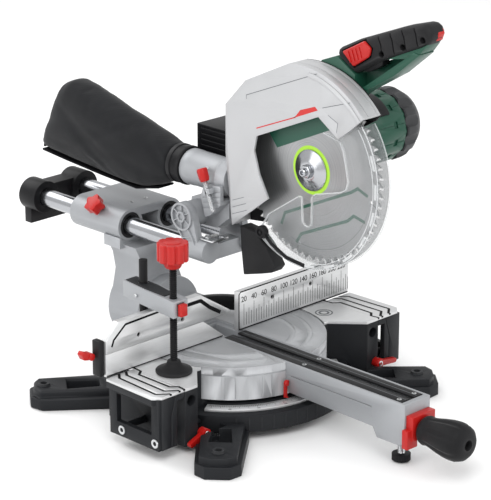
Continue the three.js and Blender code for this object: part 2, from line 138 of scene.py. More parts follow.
class Bench:
    """Modelling moves, each on one mesh at a time."""

    @staticmethod
    def pick(*pieces: bpy.types.Object) -> None:
        """Selects these objects and nothing else."""
        active = bpy.context.view_layer.objects.active
        if active and active.mode != "OBJECT":
            bpy.ops.object.mode_set(mode="OBJECT")
        for other in bpy.context.selected_objects:
            other.select_set(False)
        for piece in pieces:
            piece.select_set(True)
        bpy.context.view_layer.objects.active = pieces[0] if pieces else None

    @staticmethod
    def edit(piece: bpy.types.Object, *moves: Callable[[], object]) -> bpy.types.Object:
        """Runs edit-mode moves on the whole of a mesh."""
        Bench.pick(piece)
        bpy.ops.object.mode_set(mode="EDIT")
        for move in moves:
            bpy.ops.mesh.select_all(action="SELECT")
            move()
        bpy.ops.object.mode_set(mode="OBJECT")
        return piece

    @staticmethod
    def heal(piece: bpy.types.Object, gap: float = 1e-5) -> bpy.types.Object:
        """Merges doubled points and turns all faces outwards."""
        return Bench.edit(
            piece,
            lambda: bpy.ops.mesh.remove_doubles(threshold=gap),
            lambda: bpy.ops.mesh.normals_make_consistent(inside=False),
        )

    @staticmethod
    def sketch(
        name: str, points: Sequence[Vector], edges: Sequence = (), faces: Sequence = ()
    ) -> bpy.types.Object:
        """A new mesh from its points and how they join."""
        mesh = bpy.data.meshes.new(name)
        mesh.from_pydata([tuple(p) for p in points], list(edges), list(faces))
        piece = bpy.data.objects.new(name, mesh)
        bpy.context.scene.collection.objects.link(piece)
        return piece

    @staticmethod
    def slab(name: str, outline: Sequence[Flat], axis: Axis, low: float, high: float) -> bpy.types.Object:
        """A flat outline drawn out along an axis.

        Args:
            name: The new piece's name.
            outline: Corners across the axis, in millimetres.
            axis: The axis that the outline is drawn across.
            low: Where the piece starts along the axis.
            high: Where it ends.
        """
        piece = Bench.sketch(name, [axis.place(a, b, low) for a, b in outline], faces=[range(len(outline))])
        move = axis.vector() * (high - low) * MM

        def draw_out() -> None:
            """Pulls the open outline out into a solid."""
            bpy.ops.mesh.extrude_region_move(TRANSFORM_OT_translate={"value": move})

        return Bench.edit(piece, draw_out, lambda: bpy.ops.mesh.normals_make_consistent(inside=False))

    @staticmethod
    def block(name: str, low: Spot, high: Spot, edge: float = 0.0) -> bpy.types.Object:
        """A box between two corners, with its edges rounded."""
        outline = [(low[0], low[1]), (high[0], low[1]), (high[0], high[1]), (low[0], high[1])]
        piece = Bench.slab(name, outline, Axis.Z, low[2], high[2])
        return Bench.soften(piece, edge) if edge else piece

    @staticmethod
    def turned(
        name: str, profile: Sequence[Flat], foot: Vector, way: Vector, steps: int = 48
    ) -> bpy.types.Object:
        """A profile of radius and height, spun about an axis.

        Args:
            name: The new piece's name.
            profile: Radius and height of each point, in millimetres.
            foot: Where height 0 is, in the frame.
            way: The direction in which the height grows.
            steps: How many facets go round.
        """
        points = [Vector((r * MM, 0.0, h * MM)) for r, h in profile]
        piece = Bench.sketch(name, points, edges=[(i, i + 1) for i in range(len(points) - 1)])
        Bench.edit(
            piece, lambda: bpy.ops.mesh.spin(steps=steps, angle=math.tau, center=(0, 0, 0), axis=(0, 0, 1))
        )
        Bench.heal(piece, 2e-6)
        piece.data.transform(Matrix.Translation(foot) @ way.to_track_quat("Z", "Y").to_matrix().to_4x4())
        return piece

    @staticmethod
    def drum(
        name: str, centre: Spot, axis: Axis, radius: float, half: float, steps: int = 32
    ) -> bpy.types.Object:
        """A plain round bar, used as a cutter or a start."""
        turn = {"x": (0, math.pi / 2, 0), "y": (math.pi / 2, 0, 0), "z": (0, 0, 0)}[axis.value]
        Bench.pick()
        bpy.ops.mesh.primitive_cylinder_add(
            vertices=steps, radius=radius * MM, depth=2 * half * MM, location=at(*centre), rotation=turn
        )
        piece = bpy.context.view_layer.objects.active
        piece.name = name
        bpy.ops.object.transform_apply(location=True, rotation=True, scale=True)
        return piece

    @staticmethod
    def apply(piece: bpy.types.Object, kind: str, **settings: object) -> bpy.types.Object:
        """Adds one modifier with its settings and applies it."""
        Bench.pick(piece)
        modifier = piece.modifiers.new(kind.title(), kind)
        for key, value in settings.items():
            setattr(modifier, key, value)
        bpy.ops.object.modifier_apply(modifier=modifier.name)
        return piece

    @staticmethod
    def cut(piece: bpy.types.Object, *tools: bpy.types.Object, keep: bool = False) -> bpy.types.Object:
        """Cuts the tools' shapes out of a piece."""
        for tool in tools:
            Bench.apply(piece, "BOOLEAN", operation="DIFFERENCE", solver="EXACT", object=tool)
            if not keep:
                bpy.data.objects.remove(tool)
        return piece

    @staticmethod
    def common(piece: bpy.types.Object, tool: bpy.types.Object) -> bpy.types.Object:
        """Keeps only what a piece shares with a tool."""
        return Bench.apply(piece, "BOOLEAN", operation="INTERSECT", solver="EXACT", object=tool)

    @staticmethod
    def gather(name: str, pieces: Sequence[bpy.types.Object]) -> bpy.types.Object:
        """Joins pieces of one finish into one object."""
        Bench.pick(*pieces)
        if len(pieces) > 1:
            bpy.ops.object.join()
        pieces[0].name = name
        return pieces[0]

    @staticmethod
    def copy(piece: bpy.types.Object, name: str) -> bpy.types.Object:
        """A second object with its own mesh, standing free."""
        twin = bpy.data.objects.new(name, piece.data.copy())
        bpy.context.scene.collection.objects.link(twin)
        return twin

    @staticmethod
    def soften(piece: bpy.types.Object, width: float, rows: int = 2, limit: float = 32.0) -> bpy.types.Object:
        """Rounds the sharp edges of a piece and shades it smooth between them.

        Args:
            piece: The mesh.
            width: How wide the rounding is, in millimetres.
            rows: Faces across each rounding.
            limit: Edges sharper than this many degrees are rounded.
        """
        if width:
            Bench.apply(
                piece, "BEVEL", width=width * MM, segments=rows, limit_method="ANGLE",
                angle_limit=math.radians(limit), use_clamp_overlap=True,
            )
        Bench.pick(piece)
        bpy.ops.object.shade_smooth_by_angle(angle=math.radians(38))
        return piece

    @staticmethod
    def numeral(text: str, height: float, right: Vector, up: Vector, foot: Vector) -> bpy.types.Object:
        """A raised number for a scale.

        Args:
            text: The number.
            height: The height of its letters, in millimetres.
            right: The direction it is read in.
            up: The direction of its upright.
            foot: The middle of its base line.
        """
        Bench.pick()
        bpy.ops.object.text_add()
        piece = bpy.context.view_layer.objects.active
        piece.data.body = text
        piece.data.size = height * MM * 1.4
        piece.data.space_character = 0.92
        piece.data.align_x = "CENTER"
        piece.data.extrude = 0.00012
        piece.data.resolution_u = 3
        bpy.ops.object.convert(target="MESH")
        turn = Matrix((right, up, right.cross(up))).transposed().to_4x4()
        piece.data.transform(Matrix.Translation(foot) @ turn)
        return piece


@dataclass(frozen=True)
class Finish:
    """A surface finish: its colour, gloss, grain and how uneven it is."""

    name: str
    slot: str
    colour: Colour
    rough: float
    metal: float = 0.0
    grain: float = 700.0
    relief: float = 0.12
    mottle: float = 0.08
    coat: float = 0.0
    sheen: float = 0.0
    stretch: Spot = (1.0, 1.0, 1.0)
    wear: float = 0.0
    gleam: float = 0.5

    def material(self) -> bpy.types.Material:
        """The finish's material, made on its first use."""
        found = bpy.data.materials.get(self.name)
        if found:
            return found
        made = bpy.data.materials.new(self.name)
        made.use_nodes = True
        made.diffuse_color = (*self.colour, 1.0)
        self.dress(made.node_tree)
        return made

    def dress(self, tree: bpy.types.NodeTree) -> None:
        """Wires the grain into the shader's colour, roughness and normal."""
        shader = tree.nodes["Principled BSDF"]
        fine = self.noise(tree, self.grain, self.stretch)
        broad = self.noise(tree, 22.0, (1.0, 1.0, 1.0))
        blend = tree.nodes.new("ShaderNodeMath")
        blend.operation = "MULTIPLY_ADD"
        blend.inputs[1].default_value = 0.5
        tree.links.new(fine.outputs["Fac"], blend.inputs[0])
        half = tree.nodes.new("ShaderNodeMath")
        half.operation = "MULTIPLY"
        half.inputs[1].default_value = 0.5
        tree.links.new(broad.outputs["Fac"], half.inputs[0])
        tree.links.new(half.outputs[0], blend.inputs[2])
        ramp = tree.nodes.new("ShaderNodeValToRGB")
        ramp.color_ramp.elements[0].position = 0.3
        ramp.color_ramp.elements[1].position = 0.7
        ramp.color_ramp.elements[0].color = (*[c * (1 - self.mottle) for c in self.colour], 1)
        ramp.color_ramp.elements[1].color = (*[min(1.0, c * (1 + self.mottle)) for c in self.colour], 1)
        tree.links.new(blend.outputs[0], ramp.inputs["Fac"])
        colour = self.rub(tree, ramp.outputs["Color"]) if self.wear else ramp.outputs["Color"]
        tree.links.new(colour, shader.inputs["Base Color"])
        gloss = tree.nodes.new("ShaderNodeMapRange")
        gloss.inputs["To Min"].default_value = max(0.02, self.rough - 0.07)
        gloss.inputs["To Max"].default_value = min(1.0, self.rough + 0.07)
        tree.links.new(blend.outputs[0], gloss.inputs["Value"])
        tree.links.new(gloss.outputs["Result"], shader.inputs["Roughness"])
        bump = tree.nodes.new("ShaderNodeBump")
        bump.inputs["Strength"].default_value = self.relief
        bump.inputs["Distance"].default_value = 0.0004
        tree.links.new(fine.outputs["Fac"], bump.inputs["Height"])
        tree.links.new(bump.outputs["Normal"], shader.inputs["Normal"])
        shader.inputs["Metallic"].default_value = self.metal
        shader.inputs["Specular IOR Level"].default_value = self.gleam
        shader.inputs["Coat Weight"].default_value = self.coat
        shader.inputs["Coat Roughness"].default_value = 0.12
        shader.inputs["Sheen Weight"].default_value = self.sheen

    def rub(self, tree: bpy.types.NodeTree, colour: bpy.types.NodeSocket) -> bpy.types.NodeSocket:
        """Lightens the colour where edges and corners are handled."""
        shape = tree.nodes.new("ShaderNodeNewGeometry")
        reach = tree.nodes.new("ShaderNodeMapRange")
        reach.inputs["From Min"].default_value = 0.52
        reach.inputs["From Max"].default_value = 0.62
        reach.inputs["To Max"].default_value = self.wear
        tree.links.new(shape.outputs["Pointiness"], reach.inputs["Value"])
        mix = tree.nodes.new("ShaderNodeMix")
        mix.data_type = "RGBA"
        mix.inputs["B"].default_value = (*[min(1.0, c * 1.6 + 0.06) for c in self.colour], 1)
        tree.links.new(reach.outputs["Result"], mix.inputs["Factor"])
        tree.links.new(colour, mix.inputs["A"])
        return mix.outputs["Result"]

    @staticmethod
    def noise(tree: bpy.types.NodeTree, scale: float, stretch: Spot) -> bpy.types.Node:
        """A noise pattern fixed to the piece, longer along the directions with a small stretch."""
        where = tree.nodes.new("ShaderNodeTexCoord")
        shift = tree.nodes.new("ShaderNodeMapping")
        shift.inputs["Scale"].default_value = stretch
        grain = tree.nodes.new("ShaderNodeTexNoise")
        grain.inputs["Scale"].default_value = scale
        grain.inputs["Detail"].default_value = 3.0
        tree.links.new(where.outputs["Object"], shift.inputs["Vector"])
        tree.links.new(shift.outputs["Vector"], grain.inputs["Vector"])
        return grain


@dataclass(frozen=True)
class TurnedSteel(Finish):
    """Steel with fine rings about an axis along x, as a ground disc has."""

    hub: Flat = (0.0, 0.0)

    def dress(self, tree: bpy.types.NodeTree) -> None:
        """Adds rings of colour and gloss to the plain steel."""
        super().dress(tree)
        shader = tree.nodes["Principled BSDF"]
        where = tree.nodes.new("ShaderNodeTexCoord")
        shift = tree.nodes.new("ShaderNodeMapping")
        hub = at(0.0, *self.hub)
        shift.inputs["Location"].default_value = (0.0, -hub.y, -hub.z)
        shift.inputs["Scale"].default_value = (0.0, 1.0, 1.0)
        reach = tree.nodes.new("ShaderNodeVectorMath")
        reach.operation = "LENGTH"
        rings = tree.nodes.new("ShaderNodeTexNoise")
        rings.noise_dimensions = "1D"
        rings.inputs["Scale"].default_value = 900.0
        rings.inputs["Detail"].default_value = 2.0
        ramp = tree.nodes.new("ShaderNodeValToRGB")
        ramp.color_ramp.elements[0].position = 0.3
        ramp.color_ramp.elements[1].position = 0.7
        ramp.color_ramp.elements[0].color = (*[c * 0.82 for c in self.colour], 1)
        ramp.color_ramp.elements[1].color = (*[min(1.0, c * 1.15) for c in self.colour], 1)
        gloss = tree.nodes.new("ShaderNodeMapRange")
        gloss.inputs["To Min"].default_value = self.rough - 0.08
        gloss.inputs["To Max"].default_value = self.rough + 0.10
        tree.links.new(where.outputs["Object"], shift.inputs["Vector"])
        tree.links.new(shift.outputs["Vector"], reach.inputs[0])
        tree.links.new(reach.outputs["Value"], rings.inputs["W"])
        tree.links.new(rings.outputs["Fac"], ramp.inputs["Fac"])
        tree.links.new(ramp.outputs["Color"], shader.inputs["Base Color"])
        tree.links.new(rings.outputs["Fac"], gloss.inputs["Value"])
        tree.links.new(gloss.outputs["Result"], shader.inputs["Roughness"])
        tangent = tree.nodes.new("ShaderNodeTangent")
        tangent.direction_type = "RADIAL"
        tangent.axis = "X"
        tree.links.new(tangent.outputs["Tangent"], shader.inputs["Tangent"])
        shader.inputs["Anisotropic"].default_value = 0.75


@dataclass(frozen=True)
class ClearPlastic(Finish):
    """Smoky clear sheet that hides more at its edges."""

    see: float = 0.12
    dim: float = 0.5

    def dress(self, tree: bpy.types.NodeTree) -> None:
        """Adds clearness that falls off towards the silhouette."""
        super().dress(tree)
        shader = tree.nodes["Principled BSDF"]
        facing = tree.nodes.new("ShaderNodeLayerWeight")
        facing.inputs["Blend"].default_value = 0.35
        veil = tree.nodes.new("ShaderNodeMapRange")
        veil.inputs["To Min"].default_value = self.see
        veil.inputs["To Max"].default_value = self.dim
        tree.links.new(facing.outputs["Facing"], veil.inputs["Value"])
        tree.links.new(veil.outputs["Result"], shader.inputs["Alpha"])


@dataclass(frozen=True)
class Weave(Finish):
    """Plain-woven cloth, with threads crossing on the broad sides."""

    thread: float = 0.9

    def dress(self, tree: bpy.types.NodeTree) -> None:
        """Lays two crossing sets of threads into the relief and colour."""
        super().dress(tree)
        shader = tree.nodes["Principled BSDF"]
        where = tree.nodes.new("ShaderNodeTexCoord")
        waves = []
        for direction in ("Y", "Z"):
            wave = tree.nodes.new("ShaderNodeTexWave")
            wave.bands_direction = direction
            wave.inputs["Scale"].default_value = 314.0 / self.thread / 2.0
            wave.inputs["Distortion"].default_value = 0.6
            wave.inputs["Detail Scale"].default_value = 3.0
            tree.links.new(where.outputs["Object"], wave.inputs["Vector"])
            waves.append(wave)
        cross = tree.nodes.new("ShaderNodeMath")
        cross.operation = "MULTIPLY"
        tree.links.new(waves[0].outputs["Fac"], cross.inputs[0])
        tree.links.new(waves[1].outputs["Fac"], cross.inputs[1])
        old = shader.inputs["Normal"].links[0].from_node
        bump = tree.nodes.new("ShaderNodeBump")
        bump.inputs["Strength"].default_value = 0.35
        bump.inputs["Distance"].default_value = 0.0003
        tree.links.new(cross.outputs[0], bump.inputs["Height"])
        tree.links.new(old.outputs["Normal"], bump.inputs["Normal"])
        tree.links.new(bump.outputs["Normal"], shader.inputs["Normal"])


HUB: Flat = (-154.0, 365.0)  # blade centre, as y and z

CAST = Finish(
    name="cast_alloy", slot="cast_silver", colour=(0.31, 0.32, 0.335),
    rough=0.44, metal=0.35, grain=900, relief=0.22, mottle=0.05, wear=0.3,
)
MACHINED = Finish(
    name="milled_alloy", slot="machined_alloy", colour=(0.66, 0.665, 0.67),
    rough=0.34, metal=0.55, grain=420, relief=0.05, mottle=0.06, stretch=(0.06, 1, 1),
)
SKIRT = Finish(
    name="turned_alloy", slot="machined_alloy", colour=(0.46, 0.47, 0.485),
    rough=0.50, metal=0.25, grain=500, relief=0.06, mottle=0.06, stretch=(1, 1, 0.08),
)
GUARD_PAINT = Finish(
    name="guard_lacquer", slot="guard_paint", colour=(0.44, 0.445, 0.455),
    rough=0.40, metal=0.2, grain=1200, relief=0.05, mottle=0.03, coat=0.2,
)
DARK = Finish(
    name="base_moulding", slot="base_plastic", colour=(0.012, 0.013, 0.015),
    rough=0.46, metal=0.0, grain=1400, relief=0.25, mottle=0.15, wear=0.35, gleam=0.14,
)
BLACK = Finish(
    name="black_moulding", slot="black_plastic", colour=(0.006, 0.006, 0.007),
    rough=0.40, metal=0.0, grain=1300, relief=0.15, mottle=0.15, wear=0.25, gleam=0.14,
)
CAP_GREY = Finish(
    name="cap_moulding", slot="black_plastic", colour=(0.020, 0.021, 0.023),
    rough=0.45, metal=0.0, grain=1300, relief=0.15, mottle=0.15, wear=0.3, gleam=0.2,
)
RUBBER = Finish(
    name="soft_grip", slot="soft_rubber", colour=(0.010, 0.010, 0.011),
    rough=0.58, metal=0.0, grain=1500, relief=0.35, mottle=0.15, sheen=0.05, wear=0.3, gleam=0.14,
)
RED = Finish(
    name="red_moulding", slot="red_plastic", colour=(0.42, 0.008, 0.006),
    rough=0.36, metal=0.0, grain=500, relief=0.06, mottle=0.06, coat=0.1, wear=0.08, gleam=0.3,
)
GREEN = Finish(
    name="green_moulding", slot="green_plastic", colour=(0.010, 0.062, 0.038),
    rough=0.36, metal=0.0, grain=1100, relief=0.12, mottle=0.08, coat=0.1, wear=0.3, gleam=0.22,
)
STEEL = Finish(
    name="plain_steel", slot="bare_steel", colour=(0.62, 0.63, 0.64),
    rough=0.28, metal=1.0, grain=600, relief=0.08, mottle=0.08,
)
CHROME = Finish(
    name="hard_chrome", slot="rail_chrome", colour=(0.42, 0.43, 0.45),
    rough=0.20, metal=1.0, grain=500, relief=0.03, mottle=0.05, stretch=(1, 0.05, 1),
)
BLADE_STEEL = TurnedSteel(
    name="blade_steel", slot="bare_steel", colour=(0.33, 0.335, 0.34),
    rough=0.36, metal=0.9, grain=500, relief=0.03, hub=HUB,
)
# Carbide tips are lighter than the disc; their near white colour is partly painted highlight on the teeth.
TIP_CARBIDE_AND_HIGHLIGHT = Finish(
    name="tip_carbide_and_highlight", slot="bare_steel", colour=(0.80, 0.80, 0.80),
    rough=0.35, metal=0.4, grain=600, relief=0.08, mottle=0.08,
)
INK = Finish(
    name="black_ink", slot="black_plastic", colour=(0.008, 0.008, 0.009),
    rough=0.5, metal=0.0, grain=600, relief=0.0, mottle=0.1, gleam=0.05,
)
GREY_INK = Finish(
    name="grey_ink", slot="black_plastic", colour=(0.14, 0.15, 0.16),
    rough=0.5, metal=0.0, grain=600, relief=0.0, mottle=0.1,
)
GREEN_INK = Finish(
    name="green_ink", slot="green_plastic", colour=(0.006, 0.075, 0.045),
    rough=0.4, metal=0.0, grain=600, relief=0.0, mottle=0.05,
)
LIME_INK = Finish(
    name="lime_ink", slot="green_plastic", colour=(0.36, 0.66, 0.03),
    rough=0.4, metal=0.0, grain=600, relief=0.0, mottle=0.05,
)
RED_INK = Finish(
    name="red_ink", slot="red_plastic", colour=(0.50, 0.012, 0.010),
    rough=0.4, metal=0.0, grain=600, relief=0.0, mottle=0.05,
)
CLEAR = ClearPlastic(
    name="clear_shell", slot="clear_guard", colour=(0.42, 0.44, 0.45),
    rough=0.06, metal=0.0, grain=300, relief=0.02, mottle=0.04, see=0.06, dim=0.34,
)
# The far cheek of the clear guard, tinted dark and made more opaque: painted shade, so the gaps between the
# teeth read dark.
PAINTED_SHADE_SMOKE = ClearPlastic(
    name="clear_guard_far_painted_shade", slot="clear_guard", colour=(0.10, 0.105, 0.11),
    rough=0.10, metal=0.0, grain=300, relief=0.02, mottle=0.04, see=0.35, dim=0.6,
)
# Near white on the guard's raised lips and ribs: painted highlight where light catches the clear edges.
CLEAR_EDGE_HIGHLIGHT = ClearPlastic(
    name="clear_edge_painted_highlight", slot="clear_guard", colour=(0.85, 0.87, 0.88),
    rough=0.08, metal=0.0, grain=300, relief=0.02, mottle=0.04, see=0.22, dim=0.7,
)
CLOTH = Weave(
    name="bag_cloth", slot="bag_fabric", colour=(0.011, 0.0115, 0.013),
    rough=0.78, metal=0.0, grain=800, relief=0.25, mottle=0.2, sheen=0.12, gleam=0.1,
)
PIPING = Weave(
    name="bag_binding", slot="bag_fabric", colour=(0.005, 0.005, 0.006),
    rough=0.8, metal=0.0, grain=900, relief=0.3, mottle=0.15, gleam=0.08,
)


class Shop:
    """Hands finished pieces over to the frame."""

    nodes: Dict[str, bpy.types.Object] = {}
    count = 0

    @classmethod
    def borrow(cls, node: str, name: str) -> bpy.types.Object:
        """A merged copy of a frame node with its flat faces made whole."""
        piece = Bench.copy(cls.nodes[node], name)
        piece.hide_render = False
        piece.hide_viewport = False
        Bench.edit(
            piece,
            lambda: bpy.ops.mesh.remove_doubles(threshold=2e-6),
            lambda: bpy.ops.mesh.dissolve_limited(angle_limit=math.radians(0.6)),
        )
        return piece

    @classmethod
    def fit(
        cls, piece: bpy.types.Object, finish: Finish, body: str, replaces: Sequence[str] = ()
    ) -> bpy.types.Object:
        """Gives a piece its finish and the body it moves with.

        Args:
            piece: The finished mesh.
            finish: Its surface.
            body: The frame's body that carries it.
            replaces: Frame nodes that it stands for.
        """
        piece.data.materials.clear()
        piece.data.materials.append(finish.material())
        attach(piece, body)
        if replaces:
            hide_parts(*replaces)
        cls.count += 1
        log.info("%s rides on %s, %d faces", piece.name, body, len(piece.data.polygons))
        return piece

    @classmethod
    def refine(
        cls, node: str, finish: Finish, width: float, cutters: Sequence[bpy.types.Object] = (), rows: int = 2
    ) -> bpy.types.Object:
        """A frame node with its edges rounded and details cut in.

        Args:
            node: The frame node that the piece stands for.
            finish: Its surface.
            width: The rounding of its edges.
            cutters: Shapes cut out before the edges are rounded.
            rows: Faces across each rounding.
        """
        piece = cls.borrow(node, node + "_shape")
        Bench.cut(piece, *cutters)
        Bench.soften(piece, width, rows)
        return cls.fit(piece, finish, cls.nodes[node]["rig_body"], [node])


def screw(name: str, head: Spot, way: Vector, radius: float = 3.2) -> bpy.types.Object:
    """A countersunk screw head with a hexagon socket.

    Args:
        name: The piece's name.
        head: The middle of the head's face.
        way: The direction that the face looks in.
        radius: The head's radius.
    """
    profile = [(0, -1.6), (radius, -1.6), (radius, 0.2), (radius * 0.8, 0.7), (radius * 0.5, 0.7)]
    socket = [(radius * 0.5, -0.6), (0, -0.6)]
    return Bench.soften(Bench.turned(name, profile + socket, at(*head), way, 18), 0)


@dataclass
class Studio:
    """The floor, the soft lights and the camera."""

    eye: Spot = (-2129.1, -2176.4, 1262.5)
    look: Spot = (0.66583, 0.67151, -0.32519)
    lens: float = 167.0

    def build(self) -> None:
        """Sets the whole stage."""
        self.floor()
        self.lamp("key", (-1800, -1500, 2600), 1.8, 46.0)
        self.lamp("front", (900, -2600, 1500), 1.6, 16.0)
        self.lamp("back", (-300, 2200, 2300), 2.2, 36.0)
        self.lamp("side", (-2600, 900, 900), 1.5, 14.0)
        world = bpy.data.worlds.new("studio")
        world.use_nodes = True
        sky = world.node_tree.nodes["Background"]
        sky.inputs["Color"].default_value = (1.0, 1.0, 1.0, 1.0)
        sky.inputs["Strength"].default_value = 0.85
        bpy.context.scene.world = world
        bpy.context.scene.view_settings.view_transform = "Standard"
        self.camera()

    def floor(self) -> None:
        """A wide pale floor."""
        plane = Bench.slab(
            "floor", [(-9000, -9000), (9000, -9000), (9000, 9000), (-9000, 9000)], Axis.Z, -6, -0.5
        )
        pale = bpy.data.materials.new("floor")
        pale.use_nodes = True
        shader = pale.node_tree.nodes["Principled BSDF"]
        shader.inputs["Base Color"].default_value = (0.93, 0.93, 0.93, 1)
        shader.inputs["Roughness"].default_value = 0.7
        plane.data.materials.append(pale)

    def lamp(self, name: str, spot: Spot, size: float, power: float) -> None:
        """A square soft light that looks at the saw.

        Args:
            name: The lamp's name.
            spot: Where it stands.
            size: Its side in metres.
            power: Its power in watts.
        """
        data = bpy.data.lights.new(name, "AREA")
        data.size = size
        data.energy = power
        lamp = bpy.data.objects.new(name, data)
        lamp.location = at(*spot)
        lamp.rotation_euler = (at(0, -40, 260) - at(*spot)).to_track_quat("-Z", "Y").to_euler()
        bpy.context.scene.collection.objects.link(lamp)

    def camera(self) -> None:
        """The camera, a long way off with a long lens."""
        data = bpy.data.cameras.new("camera")
        data.lens = self.lens
        data.sensor_width = 36.0
        camera = bpy.data.objects.new("camera", data)
        camera.location = at(*self.eye)
        camera.rotation_euler = Vector(self.look).to_track_quat("-Z", "Y").to_euler()
        bpy.context.scene.collection.objects.link(camera)
        bpy.context.scene.camera = camera


@dataclass
class Base:
    """The black base with its legs, mitre scale and fixed table ends."""

    top: float = 93.3
    groove: float = 3.6
    legs: Tuple[Tuple[str, float], ...] = (
        ("front_left", 222.05), ("front_right", 317.95), ("rear_left", 142.3), ("rear_right", 37.7),
    )

    def build(self) -> None:
        """Builds every piece that stands still."""
        self.casting()
        for name, angle in self.legs:
            self.leg(name, angle)
        self.scale()
        self.tables()

    def casting(self) -> None:
        """The ring and the two platforms, with the round pockets in their front faces."""
        tools = [Bench.drum("tool", (s * 178.5, -104, 74), Axis.Y, 7.5, 9, 28) for s in (-1, 1)]
        tools += [Bench.drum("tool", (s * 150, -110, 60), Axis.Y, 4, 9, 20) for s in (-1, 1)]
        Shop.refine("base_casting", DARK, 1.4, tools)
        ribs = []
        for i in range(15):
            angle = math.radians(228 + i * 6)
            foot = at(165.5 * math.cos(angle), 165.5 * math.sin(angle), 24)
            rib = Bench.block("rib", (-1.2, -2.0, -9), (1.2, 2.2, 9), 0.8)
            rib.data.transform(
                Matrix.Translation(foot) @ Matrix.Rotation(angle + math.pi / 2, 4, "Z")
                @ Matrix.Translation(-at(0, 0, 0))
            )
            ribs.append(rib)
        Shop.fit(Bench.gather("ring_ribs", ribs), DARK, "base")

    def leg(self, name: str, angle: float) -> None:
        """One leg, with its bolt hole and raised ring.

        Args:
            name: Which leg it is.
            angle: Its direction in degrees.
        """
        a = math.radians(angle)
        far = 264.0
        hole = Bench.drum("tool", (far * math.cos(a), far * math.sin(a), 14), Axis.Z, 4.2, 30, 24)
        Shop.refine(f"leg_{name}", DARK, 3.2, [hole], rows=3)
        profile = [(4.6, 0), (4.6, 3.2), (6.0, 3.8), (8.2, 3.6), (9.2, 0)]
        spot = at(far * math.cos(a), far * math.sin(a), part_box(f"leg_{name}")[1].z / MM - 0.4)
        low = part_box(f"leg_{name}")[1].z / MM
        ring = Bench.turned(f"leg_{name}_ring", profile + [(4.6, 0)], spot, Vector((0, 0, 1)), 28)
        if low > 26.5:
            Shop.fit(Bench.soften(ring, 0), DARK, "base")
        else:
            bpy.data.objects.remove(ring)

    def scale(self) -> None:
        """The mitre scale with a mark for each degree and a number each fifteen."""
        Shop.refine("mitre_scale", MACHINED, 0.4)
        marks = []
        for degree in range(-56, 57):
            a = math.radians(270 + degree)
            long = 9.0 if degree % 5 == 0 else 5.5
            points = []
            for across, along in ((-0.22, 138.5), (0.22, 138.5), (0.22, 138.5 + long), (-0.22, 138.5 + long)):
                points.append(
                    (along * math.cos(a) - across * math.sin(a), along * math.sin(a) + across * math.cos(a))
                )
            marks.append(Bench.slab("mark", points, Axis.Z, 39.9, 40.12))
        for degree in (0, 15, 30, 45):
            for sign in (-1, 1) if degree else (1,):
                a = math.radians(270 + sign * degree)
                out = Vector((math.cos(a), math.sin(a), 0))
                right = Vector((-out.y, out.x, 0))
                foot = at(153 * out.x, 153 * out.y, 40.0)
                marks.append(Bench.numeral(str(degree), 3.6, right, -out, foot))
        Shop.fit(Bench.gather("mitre_scale_marks", marks), INK, "base")

    def tables(self) -> None:
        """The milled ends of the table with their zigzag grooves, on the base and on the extensions."""
        lines = (
            ((-186, 4), (-188, -18.5), (-198, -26), (-198, -86), (-189, -94), (-191.5, -112)),
            ((-198.5, 0), (-211, -16), (-213, -92), (-199, -103), (-199, -112)),
            ((-211, 0), (-225, -17), (-229, -92.5), (-215, -104), (-215, -112)),
        )
        for side, sign in (("left", 1.0), ("right", -1.0)):
            paths = [[(sign * x, y) for x, y in line] for line in lines]
            for node in (f"table_{side}", f"ext_{side}_plate"):
                deep = [
                    Bench.slab("tool", ribbon(p, self.groove), Axis.Z, self.top - 1.2, self.top + 3)
                    for p in paths
                ]
                rubber = [
                    Bench.slab("strip", ribbon(p, self.groove), Axis.Z, self.top - 2.2, self.top - 0.12)
                    for p in paths
                ]
                plate = Shop.borrow(node, "template")
                strips = [Bench.common(strip, plate) for strip in rubber]
                bpy.data.objects.remove(plate)
                for empty in [strip for strip in strips if not strip.data.polygons]:
                    strips.remove(empty)
                    bpy.data.objects.remove(empty)
                Shop.refine(node, MACHINED, 0.5, deep)
                if strips:
                    Shop.fit(Bench.gather(f"{node}_grooves", strips), INK, Shop.nodes[node]["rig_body"])
        ring = Bench.turned(
            "table_mark", [(11, 0), (13, 0), (13, 0.25), (11, 0.25), (11, 0)], at(150, -38, self.top),
            Vector((0, 0, 1)), 40
        )
        dot = Bench.turned(
            "table_dot", [(5, 0), (8, 0), (8, 0.25), (5, 0.25), (5, 0)], at(150, -38, self.top),
            Vector((0, 0, 1)), 32
        )
        Shop.fit(Bench.gather("table_mark", [ring, dot]), GREY_INK, "base")


@dataclass
class Extensions:
    """The sliding table ends, their side frames and the red lock levers."""

    rod_y: Tuple[float, float] = (-99.0, -34.0)

    def build(self) -> None:
        """Builds both sides."""
        for side, sign in (("left", -1.0), ("right", 1.0)):
            seam = [(sign * 206, 88), (sign * 214, 60), (sign * 214, 18)]
            tool = Bench.slab("tool", ribbon(seam, 0.9), Axis.Y, -110, -106.2)
            Shop.refine(f"ext_{side}_frame", DARK, 1.5, [tool])
            body = f"extension_{side}"
            rings = []
            for y in self.rod_y:
                foot = at(sign * 236.6, y, 27.0)
                profile = [(3.1, -1), (3.1, 1.4), (4.6, 1.9), (6.2, 1.6), (6.6, -1), (3.1, -1)]
                rings.append(Bench.turned("bush", profile, foot, Vector((sign, 0, 0)), 28))
            Shop.fit(Bench.soften(Bench.gather(f"rod_bushes_{side}", rings), 0), STEEL, body)
            Shop.refine(f"ext_{side}_lock", RED, 1.2)
            x, z = (-161, 24) if sign < 0 else (184, 28)
            head = screw(f"lock_screw_{side}", (x, -119.0, z), Vector((0, -1, 0)), 4.2)
            Shop.fit(head, STEEL, f"extension_lock_{side}")


